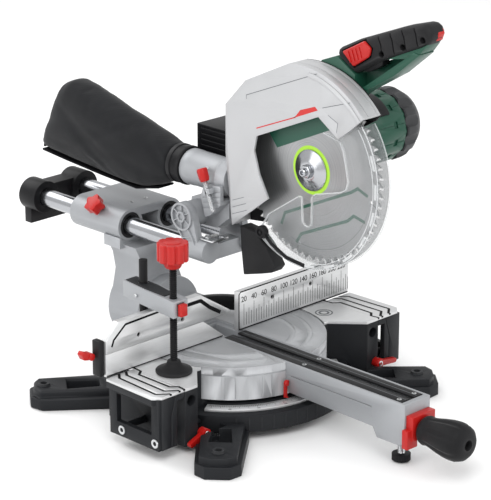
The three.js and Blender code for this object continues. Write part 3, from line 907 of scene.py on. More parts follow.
@dataclass
class Fences:
    """The two fences, the arch that joins them, and the sliding upper left fence."""

    face: float = -3.8
    shift: float = 2.0

    def build(self) -> None:
        """Builds the fences and their markings."""
        self.right()
        self.left()
        Shop.refine("fence_bridge", BLACK, 1.5)
        Shop.refine("fence_end", BLACK, 2.0)
        Shop.refine("fence_lever", RED, 1.4)

    def right(self) -> None:
        """The right fence, with its ruler and two screws."""
        holes = [Bench.drum("tool", (x, self.face, 127), Axis.Y, 3.0, 4, 24) for x in (79, 157.6)]
        Shop.refine("fence_right", MACHINED, 0.5, holes)
        marks = []
        for i in range(44):
            x = 20 + 5 * i + self.shift
            high = 131 if i % 4 == 0 else (123 if i % 2 == 0 else 118)
            marks.append(
                Bench.block("mark", (x - 0.3, self.face - 0.12, 99), (x + 0.3, self.face + 0.3, high))
            )
        for number in range(20, 221, 20):
            foot = at(number + self.shift, self.face - 0.05, 134.5)
            marks.append(Bench.numeral(str(number), 8.4, Vector((1, 0, 0)), Vector((0, 0, 1)), foot))
        edge = ribbon([(236.4, 94.6), (12.4, 94.6), (12.4, 147), (15.5, 150.2), (236.4, 150.2)], 1.8)
        marks.append(Bench.slab("edge", edge, Axis.Y, self.face - 0.12, self.face + 0.3))
        Shop.fit(Bench.gather("ruler_marks", marks), INK, "base")
        heads = [screw("screw", (x, self.face + 3, 127), Vector((0, -1, 0)), 2.9) for x in (79, 157.6)]
        Shop.fit(Bench.gather("right_fence_screws", heads), BLACK, "base")

    def left(self) -> None:
        """The left fence below its seam, and the sliding fence with its black lines above."""
        Shop.refine("fence_left", MACHINED, 0.5)
        holes = [Bench.drum("tool", (x, self.face, 139), Axis.Y, 3.1, 4, 24) for x in (-96, -176.9)]
        Shop.refine("fence_upper", MACHINED, 0.6, holes)
        lines = [
            ribbon([(-226, 134), (-222.3, 143), (-201, 160), (-126, 162.4)], 3.0),
            ribbon([(-92, 157.5), (-62, 157.5), (-44, 143), (-24, 131)], 5.4),
        ]
        inks = [Bench.slab("line", line, Axis.Y, self.face - 0.15, self.face + 0.3) for line in lines]
        Shop.fit(Bench.gather("left_fence_lines", inks), INK, "sliding_fence")
        heads = [screw("screw", (x, self.face + 3, 139), Vector((0, -1, 0)), 3.0) for x in (-96, -176.9)]
        Shop.fit(Bench.gather("left_fence_screws", heads), BLACK, "sliding_fence")
        foot = ribbon([(-235.5, 94.6), (-20, 94.6)], 1.5)
        Shop.fit(
            Bench.slab("left_fence_foot_line", foot, Axis.Y, self.face - 0.12, self.face + 0.3), INK, "base"
        )


@dataclass
class Turntable:
    """The turned table, the mitre arm in front of it, and the controls at the arm's end."""

    radius: float = 134.7
    top: float = 93.3
    grip_z: float = 56.0

    def build(self) -> None:
        """Builds the turntable and everything fixed to it."""
        self.disc()
        self.arm()
        self.latch()
        self.grip()
        self.foot()
        Shop.refine("bevel_bracket", CAST, 2.0)

    def disc(self) -> None:
        """The disc, with arc grooves in its top and panel lines round its skirt."""
        tools = []
        for radius, width in ((87.0, 4.0), (111.0, 4.0)):
            for start, stop in ((-72, 15), (165, 252)):
                outer = arc((0, 0), radius + width, start, stop)
                inner = arc((0, 0), radius - width, stop, start)
                tools.append(Bench.slab("tool", outer + inner, Axis.Z, self.top - 0.5, self.top + 2))
        band = [
            (self.radius - 0.9, 80.2), (self.radius + 3, 80.2), (self.radius + 3, 82.2),
            (self.radius - 0.9, 82.2)
        ]
        tools.append(Bench.turned("tool", band + band[:1], at(0, 0, 0), Vector((0, 0, 1)), 72))
        for degree in (190, 202, 222, 228, 244, 250, 290, 296, 312, 318, 338, 350):
            a = math.radians(degree)
            corner = [
                (self.radius - 1.2, -0.45), (self.radius + 2, -0.45), (self.radius + 2, 0.45),
                (self.radius - 1.2, 0.45)
            ]
            line = [(r * math.cos(a) - s * math.sin(a), r * math.sin(a) + s * math.cos(a)) for r, s in corner]
            tools.append(Bench.slab("tool", line, Axis.Z, 48, 79))
        Shop.refine("turntable_disc", SKIRT, 0.7, tools)

    def arm(self) -> None:
        """The mitre arm with its dark inlays and their screws."""
        tools = [Bench.block("tool", (s * 24.3 - 2, -290, 74), (s * 24.3 + 2, -141, 74.9)) for s in (-1, 1)]
        Shop.refine("mitre_arm", CAST, 1.1, tools)
        for side in ("left", "right"):
            Shop.refine(f"kerf_plate_{side}", BLACK, 0.5)
        heads = [
            screw("screw", (x, y, self.top), Vector((0, 0, 1)), 3.3) for x in (-14.5, 14.5)
            for y in (-157, -329)
        ]
        Shop.fit(Bench.gather("arm_screws", heads), STEEL, "turntable")
        lines = [
            Bench.block("line", (x - 0.35, -336, self.top), (x + 0.35, -10, self.top + 0.15))
            for x in (-9.5, 11.5)
        ]
        Shop.fit(Bench.gather("inlay_lines", lines), GREY_INK, "turntable")
        shape = [(-26.5, 61), (-32.5, 61), (-33.5, 65.5), (-31, 69), (-26.5, 69)]
        pointer = Bench.soften(Bench.slab("mitre_pointer", shape, Axis.Y, -140.6, -135.6), 0.8)
        Shop.fit(pointer, RED, "turntable")
        tongue = Bench.slab(
            "pointer_tongue", [(-32.5, -135.6), (-27, -135.6), (-29.7, -142)], Axis.Z, 44.2, 45.2
        )
        post = Bench.slab(
            "pointer_post", [(-32.5, 44.3), (-27, 44.3), (-27, 62), (-32.5, 62)], Axis.Y, -137.5, -135.4
        )
        Shop.fit(Bench.soften(Bench.gather("mitre_pointer_foot", [tongue, post]), 0.2), RED, "turntable")

    def latch(self) -> None:
        """The red detent latch with its thumb tab."""
        Shop.refine("mitre_latch", RED, 2.0)

    def grip(self) -> None:
        """The soft knob, fluted all round, with a hollow in its end."""
        profile = [
            (0, 0), (17.5, 0), (19, 1.5), (20.2, 5), (19.2, 10), (20.6, 18), (23.4, 30), (25.6, 42),
            (26.4, 52),
            (26.0, 60), (23.5, 67), (19, 71.5), (14, 73.4), (7.4, 74), (7.0, 73), (6.0, 66), (0, 66),
        ]
        piece = Bench.turned("grip_shape", profile, Vector((0, 0, 0)), Vector((0, 0, 1)), 96)
        Bench.edit(piece, lambda: bpy.ops.mesh.subdivide(number_cuts=1))
        for point in piece.data.vertices:
            across = Vector((point.co.x, point.co.y))
            high = point.co.z / MM
            if across.length < 0.012 or not 8 < high < 72:
                continue
            flute = max(0.0, math.cos(7 * math.atan2(across.y, across.x))) ** 2
            swell = math.sin(math.pi * min(1.0, (high - 8) / 60)) ** 0.6
            shrink = 1 - 0.085 * flute * swell
            point.co.x *= shrink
            point.co.y *= shrink
        foot = at(0, -362, self.grip_z)
        piece.data.transform(
            Matrix.Translation(foot) @ Vector((0, -1, 0)).to_track_quat("Z", "Y").to_matrix().to_4x4()
        )
        neck = Bench.drum("neck", (0, -355.5, self.grip_z), Axis.Y, 7, 7.2)
        Bench.soften(piece, 0)
        Shop.fit(Bench.gather("mitre_grip_shape", [piece, neck]), RUBBER, "mitre_grip", ["mitre_grip"])

    def foot(self) -> None:
        """The levelling foot under the arm's end, knurled, on a plain screw."""
        rim = []
        for i in range(72):
            r = 12.9 if i % 2 else 12.1
            a = math.tau * i / 72
            rim.append((r * math.cos(a), -322 + r * math.sin(a)))
        knob = Bench.soften(Bench.slab("foot_knob", rim, Axis.Z, 1.2, 10.8), 0.5)
        profile = [(0, 0), (5, 0)]
        for i in range(20):
            profile += [(5.0, 1 + 2.2 * i), (4.3, 2.1 + 2.2 * i)]
        profile += [(4.6, 46.6), (0, 46.6)]
        thread = Bench.turned("foot_thread", profile, at(0, -322, 8.4), Vector((0, 0, 1)), 20)
        Shop.fit(knob, BLACK, "levelling_foot", ["levelling_foot"])
        Shop.fit(Bench.soften(thread, 0), STEEL, "levelling_foot")


@dataclass
class Headstock:
    """The tilting column with the rail housing, the rails and the carriage."""

    rail_x: float = 38.0
    rail_z: float = 222.0

    def build(self) -> None:
        """Builds the column, the rails and the sliding carriage."""
        Shop.refine("bevel_arm", CAST, 3.0, rows=3)
        Shop.refine("bevel_lock_lever", RED, 2.0)
        Shop.refine("rail_lock_knob", RED, 1.6)
        self.seals()
        self.rails()
        Shop.refine("rear_cap", BLACK, 2.6, rows=3)
        self.bracket()
        self.stop()
        self.pointer()

    def seals(self) -> None:
        """The black wiper rings in the mouths of the housing."""
        rings = []
        for x in (-self.rail_x, self.rail_x):
            profile = [(13.6, 0), (13.6, 4.8), (15.5, 5.4), (18.7, 5.2), (18.7, 0), (13.6, 0)]
            rings.append(Bench.turned("seal", profile, at(x, 170.8, self.rail_z), Vector((0, -1, 0)), 40))
        Shop.fit(Bench.soften(Bench.gather("rail_seals", rings), 0), BLACK, "bevel_arm")
        heads = [screw("screw", (x, 190, 245.7), Vector((0, 0, 1)), 3.4) for x in (-14, 14)]
        Shop.fit(Bench.gather("housing_screws", heads), STEEL, "bevel_arm")

    def rails(self) -> None:
        """The two polished rails with a chamfer at each end."""
        for name, x in (("rail_near", -self.rail_x), ("rail_far", self.rail_x)):
            profile = [(0, 0), (11.8, 0), (13, 1.2), (13, 362.4), (11.8, 363.6), (0, 363.6)]
            rail = Bench.turned(name + "_shape", profile, at(x, 4.4, self.rail_z), Vector((0, 1, 0)), 64)
            Shop.fit(Bench.soften(rail, 0), CHROME, "carriage", [name])

    def bracket(self) -> None:
        """The hinge bracket, with a spoked boss on its outer cheek."""
        Shop.refine("pivot_bracket", CAST, 1.6)
        spot = at(-50.0, 44, 266)
        out = Vector((-1, 0, 0))
        rim = Bench.turned("rim", [(16.8, -1), (20, -1), (20, 3.4), (16.8, 3.4), (16.8, -1)], spot, out, 48)
        hub = Bench.turned("hub", [(5.2, -1), (8.6, -1), (8.6, 4.2), (5.2, 4.2), (5.2, -1)], spot, out, 6)
        spokes = []
        for i in range(6):
            a = math.radians(30 + 60 * i)
            path = [(44 + r * math.cos(a), 266 + r * math.sin(a)) for r in (7.6, 17.4)]
            spokes.append(Bench.slab("spoke", ribbon(path, 1.5), Axis.X, -53, -49.5))
        ribs = [
            Bench.slab("rib", ribbon(path, 1.6), Axis.X, -53, -49.5)
            for path in (
                [(31, 250), (16, 228)], [(50, 247), (33, 222)], [(26, 241), (42, 236)],
            )
        ]
        Shop.fit(Bench.soften(Bench.gather("hinge_boss", [rim, hub, *spokes, *ribs]), 0.3), CAST, "carriage")

    def stop(self) -> None:
        """The folding depth stop: a bent steel plate with its screw."""
        plate = Shop.borrow("stop_plate", "stop_plate_shape")
        lip = Bench.block("lip", (-47, -14, 239.4), (-18, -12.2, 243.2))
        tab = Bench.block("tab", (-24, -13, 239.4), (-18, 2, 242.6))
        piece = Bench.gather("stop_plate_shape", [plate, lip, tab])
        Shop.fit(Bench.soften(piece, 0.4), STEEL, "stop_plate", ["stop_plate"])
        Shop.fit(screw("stop_screw", (-38, 6, 243.4), Vector((0, 0, 1)), 4.6), STEEL, "stop_plate")

    def pointer(self) -> None:
        """The red bevel pointer on the column's left shoulder."""
        shape = [(-58, 128), (-40, 142), (-34, 138), (-40, 130), (-50, 124)]
        wedge = Bench.slab("bevel_pointer", shape, Axis.Y, 134.0, 139.5)
        Shop.fit(Bench.soften(wedge, 1.0), RED, "bevel_arm")


@dataclass
class Head:
    """The tilting head's castings: hinge arm, dust outlet, guard shell, motor and handle."""

    guard_x: float = -24.0
    guard_r: float = 147.0
    motor: Flat = (-172.0, 408.5)

    def build(self) -> None:
        """Builds the head from the hinge forwards."""
        self.arm()
        self.outlet()
        self.guard()
        self.drive()
        self.handle()
        self.power()

    def arm(self) -> None:
        """The hinge casting and the red-topped depth stop screw."""
        grooves = []
        for i in range(4):
            path = [(-15.5, 310 - 7.5 * i), (20, 303 - 7.5 * i)]
            grooves.append(Bench.slab("tool", ribbon(path, 1.1), Axis.X, -35, -33.2))
        Shop.refine("head_arm", CAST, 1.2, grooves)
        lean = Vector((0, 20, 49)).normalized()
        knob = Bench.turned(
            "stop_knob", [(0, 15), (6.4, 15), (7.2, 17.5), (7.9, 20), (8.2, 31), (7.0, 33.6), (0, 34)],
            at(-40, 3.3, 308), lean, 6,
        )
        Bench.soften(knob, 1.0)
        profile: List[Flat] = [(0, -28), (3, -28)]
        for i in range(21):
            profile += [(3.9, -26.6 + 2 * i), (3.2, -25.6 + 2 * i)]
        profile += [(3.2, 16), (0, 16)]
        thread = Bench.soften(Bench.turned("stop_thread", profile, at(-40, 3.3, 308), lean, 20), 0)
        Shop.fit(knob, RED, "depth_stop", ["depth_stop_screw"])
        Shop.fit(thread, STEEL, "depth_stop")

    def outlet(self) -> None:
        """The dust outlet pipe with a swept collar and one screw."""
        profile = [
            (21.5, 0), (28, 0), (28.6, 2), (26.5, 7), (25, 14), (25, 60), (25.6, 62), (25.6, 74), (24.6, 76),
            (21.5, 76), (21.5, 0),
        ]
        pipe = Bench.turned("dust_port_shape", profile, at(-2, -0.6, 322), Vector((0, 1, 0)), 64)
        root = Bench.turned(
            "root", [(0, -14), (25, -14), (28, 0), (21.6, 1), (0, 1)], at(-2, 0, 322), Vector((0, 1, 0)), 64
        )
        piece = Bench.gather("dust_port_shape", [pipe, root])
        Shop.fit(Bench.soften(piece, 0), CAST, "head", ["dust_port"])
        Shop.fit(screw("outlet_screw", (-28, 18, 336), Vector((-1, 0, 0.5)), 2.6), STEEL, "head")

    def guard(self) -> None:
        """The fixed guard: a lacquered shell with seams, a raised lip and a plain red line."""
        x = self.guard_x
        seams = [
            ribbon([(-54.8, 447.5), (-54.8, 453.2), (-183.9, 505.9)], 1.0),
            ribbon([(-194, 462.4), (-242.4, 478.6)], 1.0),
            ribbon([(-204.4, 454.8), (-221.5, 447), (-219.6, 434)], 1.0),
            ribbon([(-28, 300), (-50, 309)], 0.8), ribbon([(-27.5, 290), (-54, 301)], 0.8),
            ribbon([(-27, 280), (-56, 292)], 0.8),
        ]
        tools = [Bench.slab("tool", seam, Axis.X, x - 1, x + 0.7) for seam in seams]
        inlay = [Bench.slab("seam", seam, Axis.X, x + 0.25, x + 0.6) for seam in seams]
        Shop.fit(Bench.gather("guard_seams", inlay), GREY_INK, "head")
        lip = self.rim_tools()
        Shop.refine("upper_guard", GUARD_PAINT, 1.6, tools + lip)
        band = arc(HUB, self.guard_r - 5.5, 139.5, 96) + arc(HUB, self.guard_r - 12, 96, 139.5)
        strip = Bench.soften(Bench.slab("guard_lip", band, Axis.X, x - 1.6, x + 0.6), 0.9)
        Shop.fit(strip, GUARD_PAINT, "head")
        line = Bench.slab("guard_line", ribbon([(-74, 411), (-146, 440.5)], 1.5), Axis.X, x - 0.12, x + 0.3)
        flag = [(-142.2, 438.7), (-147.2, 443.1), (-154.7, 452), (-181.1, 461.7), (-186.1, 457.5)]
        badge = Bench.slab("guard_flag", flag, Axis.X, x - 0.12, x + 0.3)
        Shop.fit(Bench.gather("guard_line", [line, badge]), RED_INK, "head")
        Shop.refine("guard_inner", BLACK, 0.8)
        Shop.refine("dust_chute", RUBBER, 1.8)

    def rim_tools(self) -> List[bpy.types.Object]:
        """Cutters for the two seams that run round the guard's rim."""
        tools = []
        for low, high in ((-13.5, -12.6), (4.0, 4.9)):
            outer = arc(HUB, self.guard_r + 4, 138.5, 84, 30)
            inner = arc(HUB, self.guard_r - 0.8, 84, 138.5, 30)
            tools.append(Bench.slab("tool", outer + inner, Axis.X, low, high))
        return tools

    def drive(self) -> None:
        """The gear case and the faceted motor drum with its slots and end cap."""
        y, z = self.motor
        gear = Shop.borrow("motor_housing", "motor_housing_shape")
        keep = Bench.drum("tool", (90, y, z), Axis.X, 62, 59.8, 40)
        Bench.cut(gear, keep)
        slots = [Bench.block("tool", (103, -96 + 12 * i, 330), (106, -91 + 12 * i, 354)) for i in range(8)]
        Bench.cut(gear, *slots)
        Shop.fit(Bench.soften(gear, 2.0, 3), GREEN, "head", ["motor_housing"])
        profile = [(0, 0), (46, 0), (48.4, 2), (48.4, 26), (49.2, 28), (49.2, 80), (47.5, 83.6), (0, 83.6)]
        drum = Bench.turned("motor_drum", profile, at(30.3, y, z), Vector((1, 0, 0)), 12)
        notches = []
        for i in range(12):
            a = math.tau * (i + 0.5) / 12
            notches += [
                Bench.slab("tool", self.radial(a, 46.8, 52, 0.8), Axis.X, 58, 116),
                Bench.slab("tool", self.radial(a, 45.2, 52, 4.6), Axis.X, 90, 97),
            ]
        Bench.cut(drum, *notches)
        Shop.fit(Bench.soften(drum, 1.2), GREEN, "head")
        core = Bench.turned(
            "motor_core", [(0, 40), (44.5, 40), (44.5, 82), (0, 82)], at(30.3, y, z), Vector((1, 0, 0)), 32
        )
        Shop.fit(Bench.soften(core, 0), BLACK, "head")
        outline = arc((y, z), 50.6, 36, 146, 18) + arc((y, z), 47.4, 146, 36, 18)
        hood = Bench.slab("motor_hood", outline, Axis.X, 33, 86)
        Shop.fit(Bench.soften(hood, 1.2), BLACK, "head")
        cap_profile = [
            (0, 0), (48.6, 0), (50.2, 1.5), (50.2, 13), (49, 20), (44.5, 27), (41, 33.4), (30, 34),
            (28, 32.4), (0, 32.4),
        ]
        cap = Bench.turned("motor_cap_shape", cap_profile, at(114.3, y, z), Vector((1, 0, 0)), 72)
        scallops = [Bench.drum("tool", (131, y + 55 * math.cos(a), z + 55 * math.sin(a)), Axis.X, 9.5, 18, 24)
                    for a in (math.tau * (i + 0.5) / 12 for i in range(12))]
        Bench.cut(cap, *scallops)
        Shop.fit(Bench.soften(cap, 1.4, 3), CAP_GREY, "head", ["motor_cap"])

    def radial(self, turn: float, low: float, high: float, half: float) -> List[Flat]:
        """A radial strip across the motor's rim, seen along its shaft."""
        y, z = self.motor
        way = Vector((math.cos(turn), math.sin(turn)))
        side = Vector((-way.y, way.x))
        corners = [
            way * low - side * half, way * high - side * half, way * high + side * half,
            way * low + side * half
        ]
        return [(y + corner.x, z + corner.y) for corner in corners]

    def handle(self) -> None:
        """The D handle: green frame, soft rounded grip, red button, trigger and end badge."""
        Shop.refine("handle_frame", GREEN, 1.8)
        outline: List[Flat] = [
            (-190, 536), (-222, 552), (-297, 581), (-327, 589.6), (-334, 589.6), (-340, 586.4), (-343.8, 580),
            (-343, 572), (-338.5, 565), (-326, 557.4), (-298, 545), (-256, 527.6), (-222, 508.4),
            (-216.6, 506),
            (-211, 508), (-188, 521.5), (-184.6, 526.5), (-185.8, 532.4),
        ]
        grip = Bench.slab("handle_grip_shape", outline, Axis.X, 11.5, 42.5)
        grip = Bench.soften(grip, 8.0, 6, 60)
        along = Vector((-0.93, 0.367))
        across = Vector((-along.y, along.x))
        tools = []
        for i in range(4):
            centre = Vector((-262.0, 549.0)) + along * (21 * i)
            path = [
                tuple(centre - across * 26 - along * 3), tuple(centre - across * 4),
                tuple(centre + across * 30 - along * 5),
            ]
            tools.append(Bench.slab("tool", ribbon(path, 2.2), Axis.X, 9, 13.2))
            tools.append(Bench.slab("tool", ribbon(path, 2.2), Axis.X, 40.8, 45))
        for point in ((-262.5, 539.5), (-298, 554.8), (-331, 569.5)):
            tools.append(Bench.drum("tool", (12, *point), Axis.X, 4.4, 7, 28))
        pocket = [(-193.4, 532.6), (-234, 554.6), (-248.4, 545), (-245.2, 531.8), (-216, 512.6)]
        tools.append(Bench.slab("tool", pocket, Axis.X, 9, 17))
        tools.append(Bench.slab("tool", [(-221, 495), (-262, 520), (-262, 546), (-221, 529)], Axis.X, 19, 35))
        Bench.cut(grip, *tools)
        Shop.fit(Bench.soften(grip, 0.5), RUBBER, "head", ["handle_grip"])
        tip = [(-341.5, 583.5), (-345, 577.6), (-341.2, 567.5), (-338, 568), (-341, 577), (-338, 583)]
        Shop.fit(Bench.soften(Bench.slab("grip_tip", tip, Axis.X, 26, 38), 1.2, 3), RED, "head")
        button = Shop.borrow("lock_off_button", "lock_off_shape")
        ribs = []
        for i in range(4):
            centre = Vector((-210.5, 527.5)) + Vector((-6.2, 2.9)) * i
            path = [tuple(centre + Vector((2.6, 7))), tuple(centre + Vector((-2.6, -7)))]
            ribs.append(Bench.slab("rib", ribbon(path, 1.5), Axis.X, 7.2, 9.2))
        piece = Bench.gather("lock_off_shape", [Bench.soften(button, 2.6, 4), *ribs])
        Shop.fit(Bench.soften(piece, 0), RED, "lock_off", ["lock_off_button"])
        Shop.refine("trigger", BLACK, 1.2)
        bridge = [(-270, 534), (-298, 546.5), (-327, 559), (-336, 564), (-324, 548.6), (-308, 541)]
        Shop.fit(Bench.soften(Bench.slab("handle_bridge", bridge, Axis.X, 14, 40.6), 0.8), GREEN, "head")

    def power(self) -> None:
        """The battery behind the motor, with its ribs and latch."""
        tools = [Bench.block("tool", (102.6, 24, 324 + 8 * i), (106, 98, 326.4 + 8 * i)) for i in range(6)]
        tools += [Bench.block("tool", (36, 24, 324 + 8 * i), (39.4, 98, 326.4 + 8 * i)) for i in range(6)]
        Shop.refine("battery", BLACK, 4.0, tools, rows=3)
        latch = Bench.block("battery_latch", (56, 103.5, 330), (86, 107.5, 346), 1.4)
        Shop.fit(latch, RED, "battery")


@dataclass
class Cutting:
    """The blade on its arbor and the clear guard that swings round it."""

    radius: float = 127.0
    teeth: int = 60
    guard_r: float = 133.0

    def build(self) -> None:
        """Builds the blade, the arbor and the swinging guard."""
        self.blade()
        self.print()
        self.arbor()
        self.guard()
        self.roller()

    def polar(self, radius: float, degrees: float) -> Flat:
        """A point about the hub."""
        a = math.radians(degrees)
        return (HUB[0] + radius * math.cos(a), HUB[1] + radius * math.sin(a))

    def blade(self) -> None:
        """The toothed disc, with expansion slots that end in round holes, and its carbide tips."""
        pitch = 360.0 / self.teeth
        outline: List[Flat] = []
        for i in range(self.teeth):
            start = i * pitch
            for share, depth in (
                (0.0, 0.4), (0.06, 6.6), (0.20, 8.4), (0.36, 7.6), (0.55, 3.6), (0.82, 1.6), (0.995, 0.2)
            ):
                outline.append(self.polar(self.radius - depth, start + share * pitch))
        disc = Bench.slab("blade_shape", outline, Axis.X, -0.95, 0.95)
        tools = [Bench.drum("tool", (0, *HUB), Axis.X, 8.1, 4, 40)]
        for i in range(4):
            mid = 12 + 90 * i
            path = [self.polar(self.radius + 2 - 5 * k, mid + 0.9 * math.sin(k * 1.1)) for k in range(5)]
            tools.append(Bench.slab("tool", ribbon(path, 1.1), Axis.X, -3, 3))
            tools.append(Bench.drum("tool", (0, *path[-1]), Axis.X, 2.4, 4, 20))
        Bench.cut(disc, *tools)
        Shop.fit(Bench.soften(disc, 0), BLADE_STEEL, "blade", ["blade"])
        # The tips are near white: lighter carbide, and partly painted highlight on the teeth.
        tips = []
        for i in range(self.teeth):
            start = i * pitch
            corner = [
                self.polar(self.radius - d, start + s * pitch) for s,
                d in ((0.99, 0.0), (0.80, 1.2), (0.80, 4.2), (1.0, 6.2))
            ]
            tips.append(Bench.slab("tip", corner, Axis.X, -1.3, 1.3))
        Shop.fit(Bench.soften(Bench.gather("carbide_tips", tips), 0), TIP_CARBIDE_AND_HIGHLIGHT, "blade")

    def print(self) -> None:
        """Plain printed shapes on the blade's near side: a band, two zigzag lines and a ring."""
        near = -1.02
        band = [self.polar(66, 15.7)] + [self.polar(71.5, 119)] + [
            (HUB[0] + 103 * math.cos(math.radians(a)), HUB[1] + 103 * math.sin(math.radians(a)))
            for a in range(119, 24, -5)
        ]
        dark = [Bench.slab("band", band, Axis.X, near, -0.9)]
        high = [(-98.9, 277.5), (-105.8, 295), (-226, 350.3), (-237, 357.8), (-255, 351)]
        low = [(-127.3, 258), (-136.4, 272.2), (-220, 309.5), (-231, 319), (-251, 314.5)]
        dark += [Bench.slab("line", ribbon(path, 4.2), Axis.X, near, -0.9) for path in (high, low)]
        Shop.fit(Bench.gather("blade_print", dark), GREEN_INK, "blade")
        profile = [(27, 0.9), (33.4, 0.9), (33.4, 1.12), (27, 1.12), (27, 0.9)]
        Shop.fit(Bench.turned("blade_ring", profile, at(0, *HUB), Vector((-1, 0, 0)), 64), LIME_INK, "blade")
        grey = [Bench.slab(
            "line", arc(HUB, 108.6, 200, 290, 40) + arc(HUB, 107.8, 290, 200, 40), Axis.X, near, -0.9
        )]
        Shop.fit(Bench.gather("blade_fine_line", grey), GREY_INK, "blade")

    def arbor(self) -> None:
        """The outer flange, the hexagon bolt with its socket, and the spindle behind."""
        left = Vector((-1, 0, 0))
        foot = at(0, *HUB)
        flange = [(8, 1.3), (28.2, 1.3), (28.2, 2.6), (26.5, 3.6), (18, 5.6), (14.5, 7.6), (11, 8), (8, 8)]
        disc = Bench.turned("flange", flange + [(8, 1.3)], foot, left, 64)
        back = Bench.turned(
            "back_flange", [(0, 1.3), (28, 1.3), (28, 8.4), (7.8, 8.8), (7.8, 25.8), (0, 25.8)], foot,
            -left, 48
        )
        bolt = Bench.turned(
            "bolt", [(4.2, 7.5), (9.2, 7.5), (9.6, 8.2), (9.6, 13), (8.4, 14.4), (4.2, 14.4), (4.2, 7.5)],
            foot, left, 6
        )
        stud = Bench.turned(
            "stud", [(0, 7.6), (5.6, 7.6), (5.6, 18.6), (4.8, 19.6), (3.2, 19.6), (3.2, 15.5), (0, 15.5)],
            foot, left, 24
        )
        Bench.soften(bolt, 0.4)
        piece = Bench.gather("arbor_shape", [Bench.soften(disc, 0), back, stud, bolt])
        Shop.fit(Bench.soften(piece, 0), CHROME, "blade", ["arbor"])

    def guard(self) -> None:
        """The clear guard: a thin cheek and rim, a far cheek tinted dark as painted shade, and thicker lips
        and ribs coloured near white as painted highlights where light gathers on the edges.
        """
        notch = [(-153.2, 300)] + arc((-161.6, 300), 8.2, 0, -180, 12)[1:]
        inner = [(-90.7, 293.4), (-146.4, 330.7), (-151.2, 330)] + notch + [
            (-170, 334), (-176, 340), (-222, 352.5), (-231, 358), (-234.5, 369.2), (-226, 408),
            (-219, 420.5), (-190, 427),
        ]
        outer = arc(HUB, self.guard_r, 141, 309, 84)
        near = Bench.slab("lower_guard_shape", outer + [(-84, 283)] + inner, Axis.X, -17, -15)
        rim = arc(HUB, self.guard_r, 141, 309, 84) + arc(HUB, self.guard_r - 2.4, 309, 141, 84)
        wall = Bench.slab("rim", rim, Axis.X, -15, 7.8)
        piece = Bench.gather("lower_guard_shape", [near, wall])
        Shop.fit(Bench.soften(piece, 0.4, 2), CLEAR, "lower_guard", ["lower_guard"])
        # The far cheek is tinted dark and less clear: painted shade behind the teeth.
        ring = arc(HUB, self.guard_r - 2.5, 141, 309, 84) + arc(HUB, 112, 309, 141, 84)
        far = Bench.slab("lower_guard_far_painted_shade", ring, Axis.X, 5.6, 7.6)
        Shop.fit(Bench.soften(far, 0.4, 2), PAINTED_SHADE_SMOKE, "lower_guard")
        # The lips and ribs are raised strips of the guard, coloured near white as painted highlights along
        # its edges.
        lips = []
        for radius, low, high in ((132.4, -17.5, -16.2), (132.4, 7.0, 8.2), (124.5, -17.6, -16.8)):
            loop = arc(HUB, radius + 0.5, 141, 309, 84) + arc(HUB, radius - 0.5, 309, 141, 84)
            lips.append(Bench.slab("lip", loop, Axis.X, low, high))
        edge = [(-68.8, 262.6), (-84, 283)] + inner
        lips.append(Bench.slab("lip", ribbon(edge, 1.3), Axis.X, -17.8, -14.6))
        for i in range(9):
            angle = 158 + 17 * i
            span = arc(HUB, 130.6, angle, angle + 9, 5) + arc(HUB, 127.0, angle + 9, angle, 5)
            lips.append(Bench.slab("rib", span, Axis.X, -17.7, -16.9))
        Shop.fit(Bench.soften(Bench.gather("lower_guard_lip_highlights", lips), 0), CLEAR_EDGE_HIGHLIGHT, "lower_guard")

    def roller(self) -> None:
        """The black roller that rides on the work, and the dark carrier along the guard's front edge."""
        spot = at(0, *self.polar(121, 306))
        profile = [
            (0, 17.4), (5, 17.4), (9, 18.2), (9, 24.6), (7.6, 26.6), (5, 26.8), (4.4, 25.2), (2.4, 25.2),
            (2.2, 26.4), (0, 26.4)
        ]
        Shop.fit(
            Bench.soften(Bench.turned("guard_roller_shape", profile, spot, Vector((-1, 0, 0)), 40), 0),
            BLACK, "lower_guard", ["guard_roller"]
        )
        path = [self.polar(124, 308), self.polar(126.5, 297), self.polar(128.5, 283), self.polar(129, 268)]
        carrier = Bench.slab("roller_carrier", ribbon(path, 5.5), Axis.X, -18.6, -17.1)
        Shop.fit(Bench.soften(carrier, 0.5), BLACK, "lower_guard")


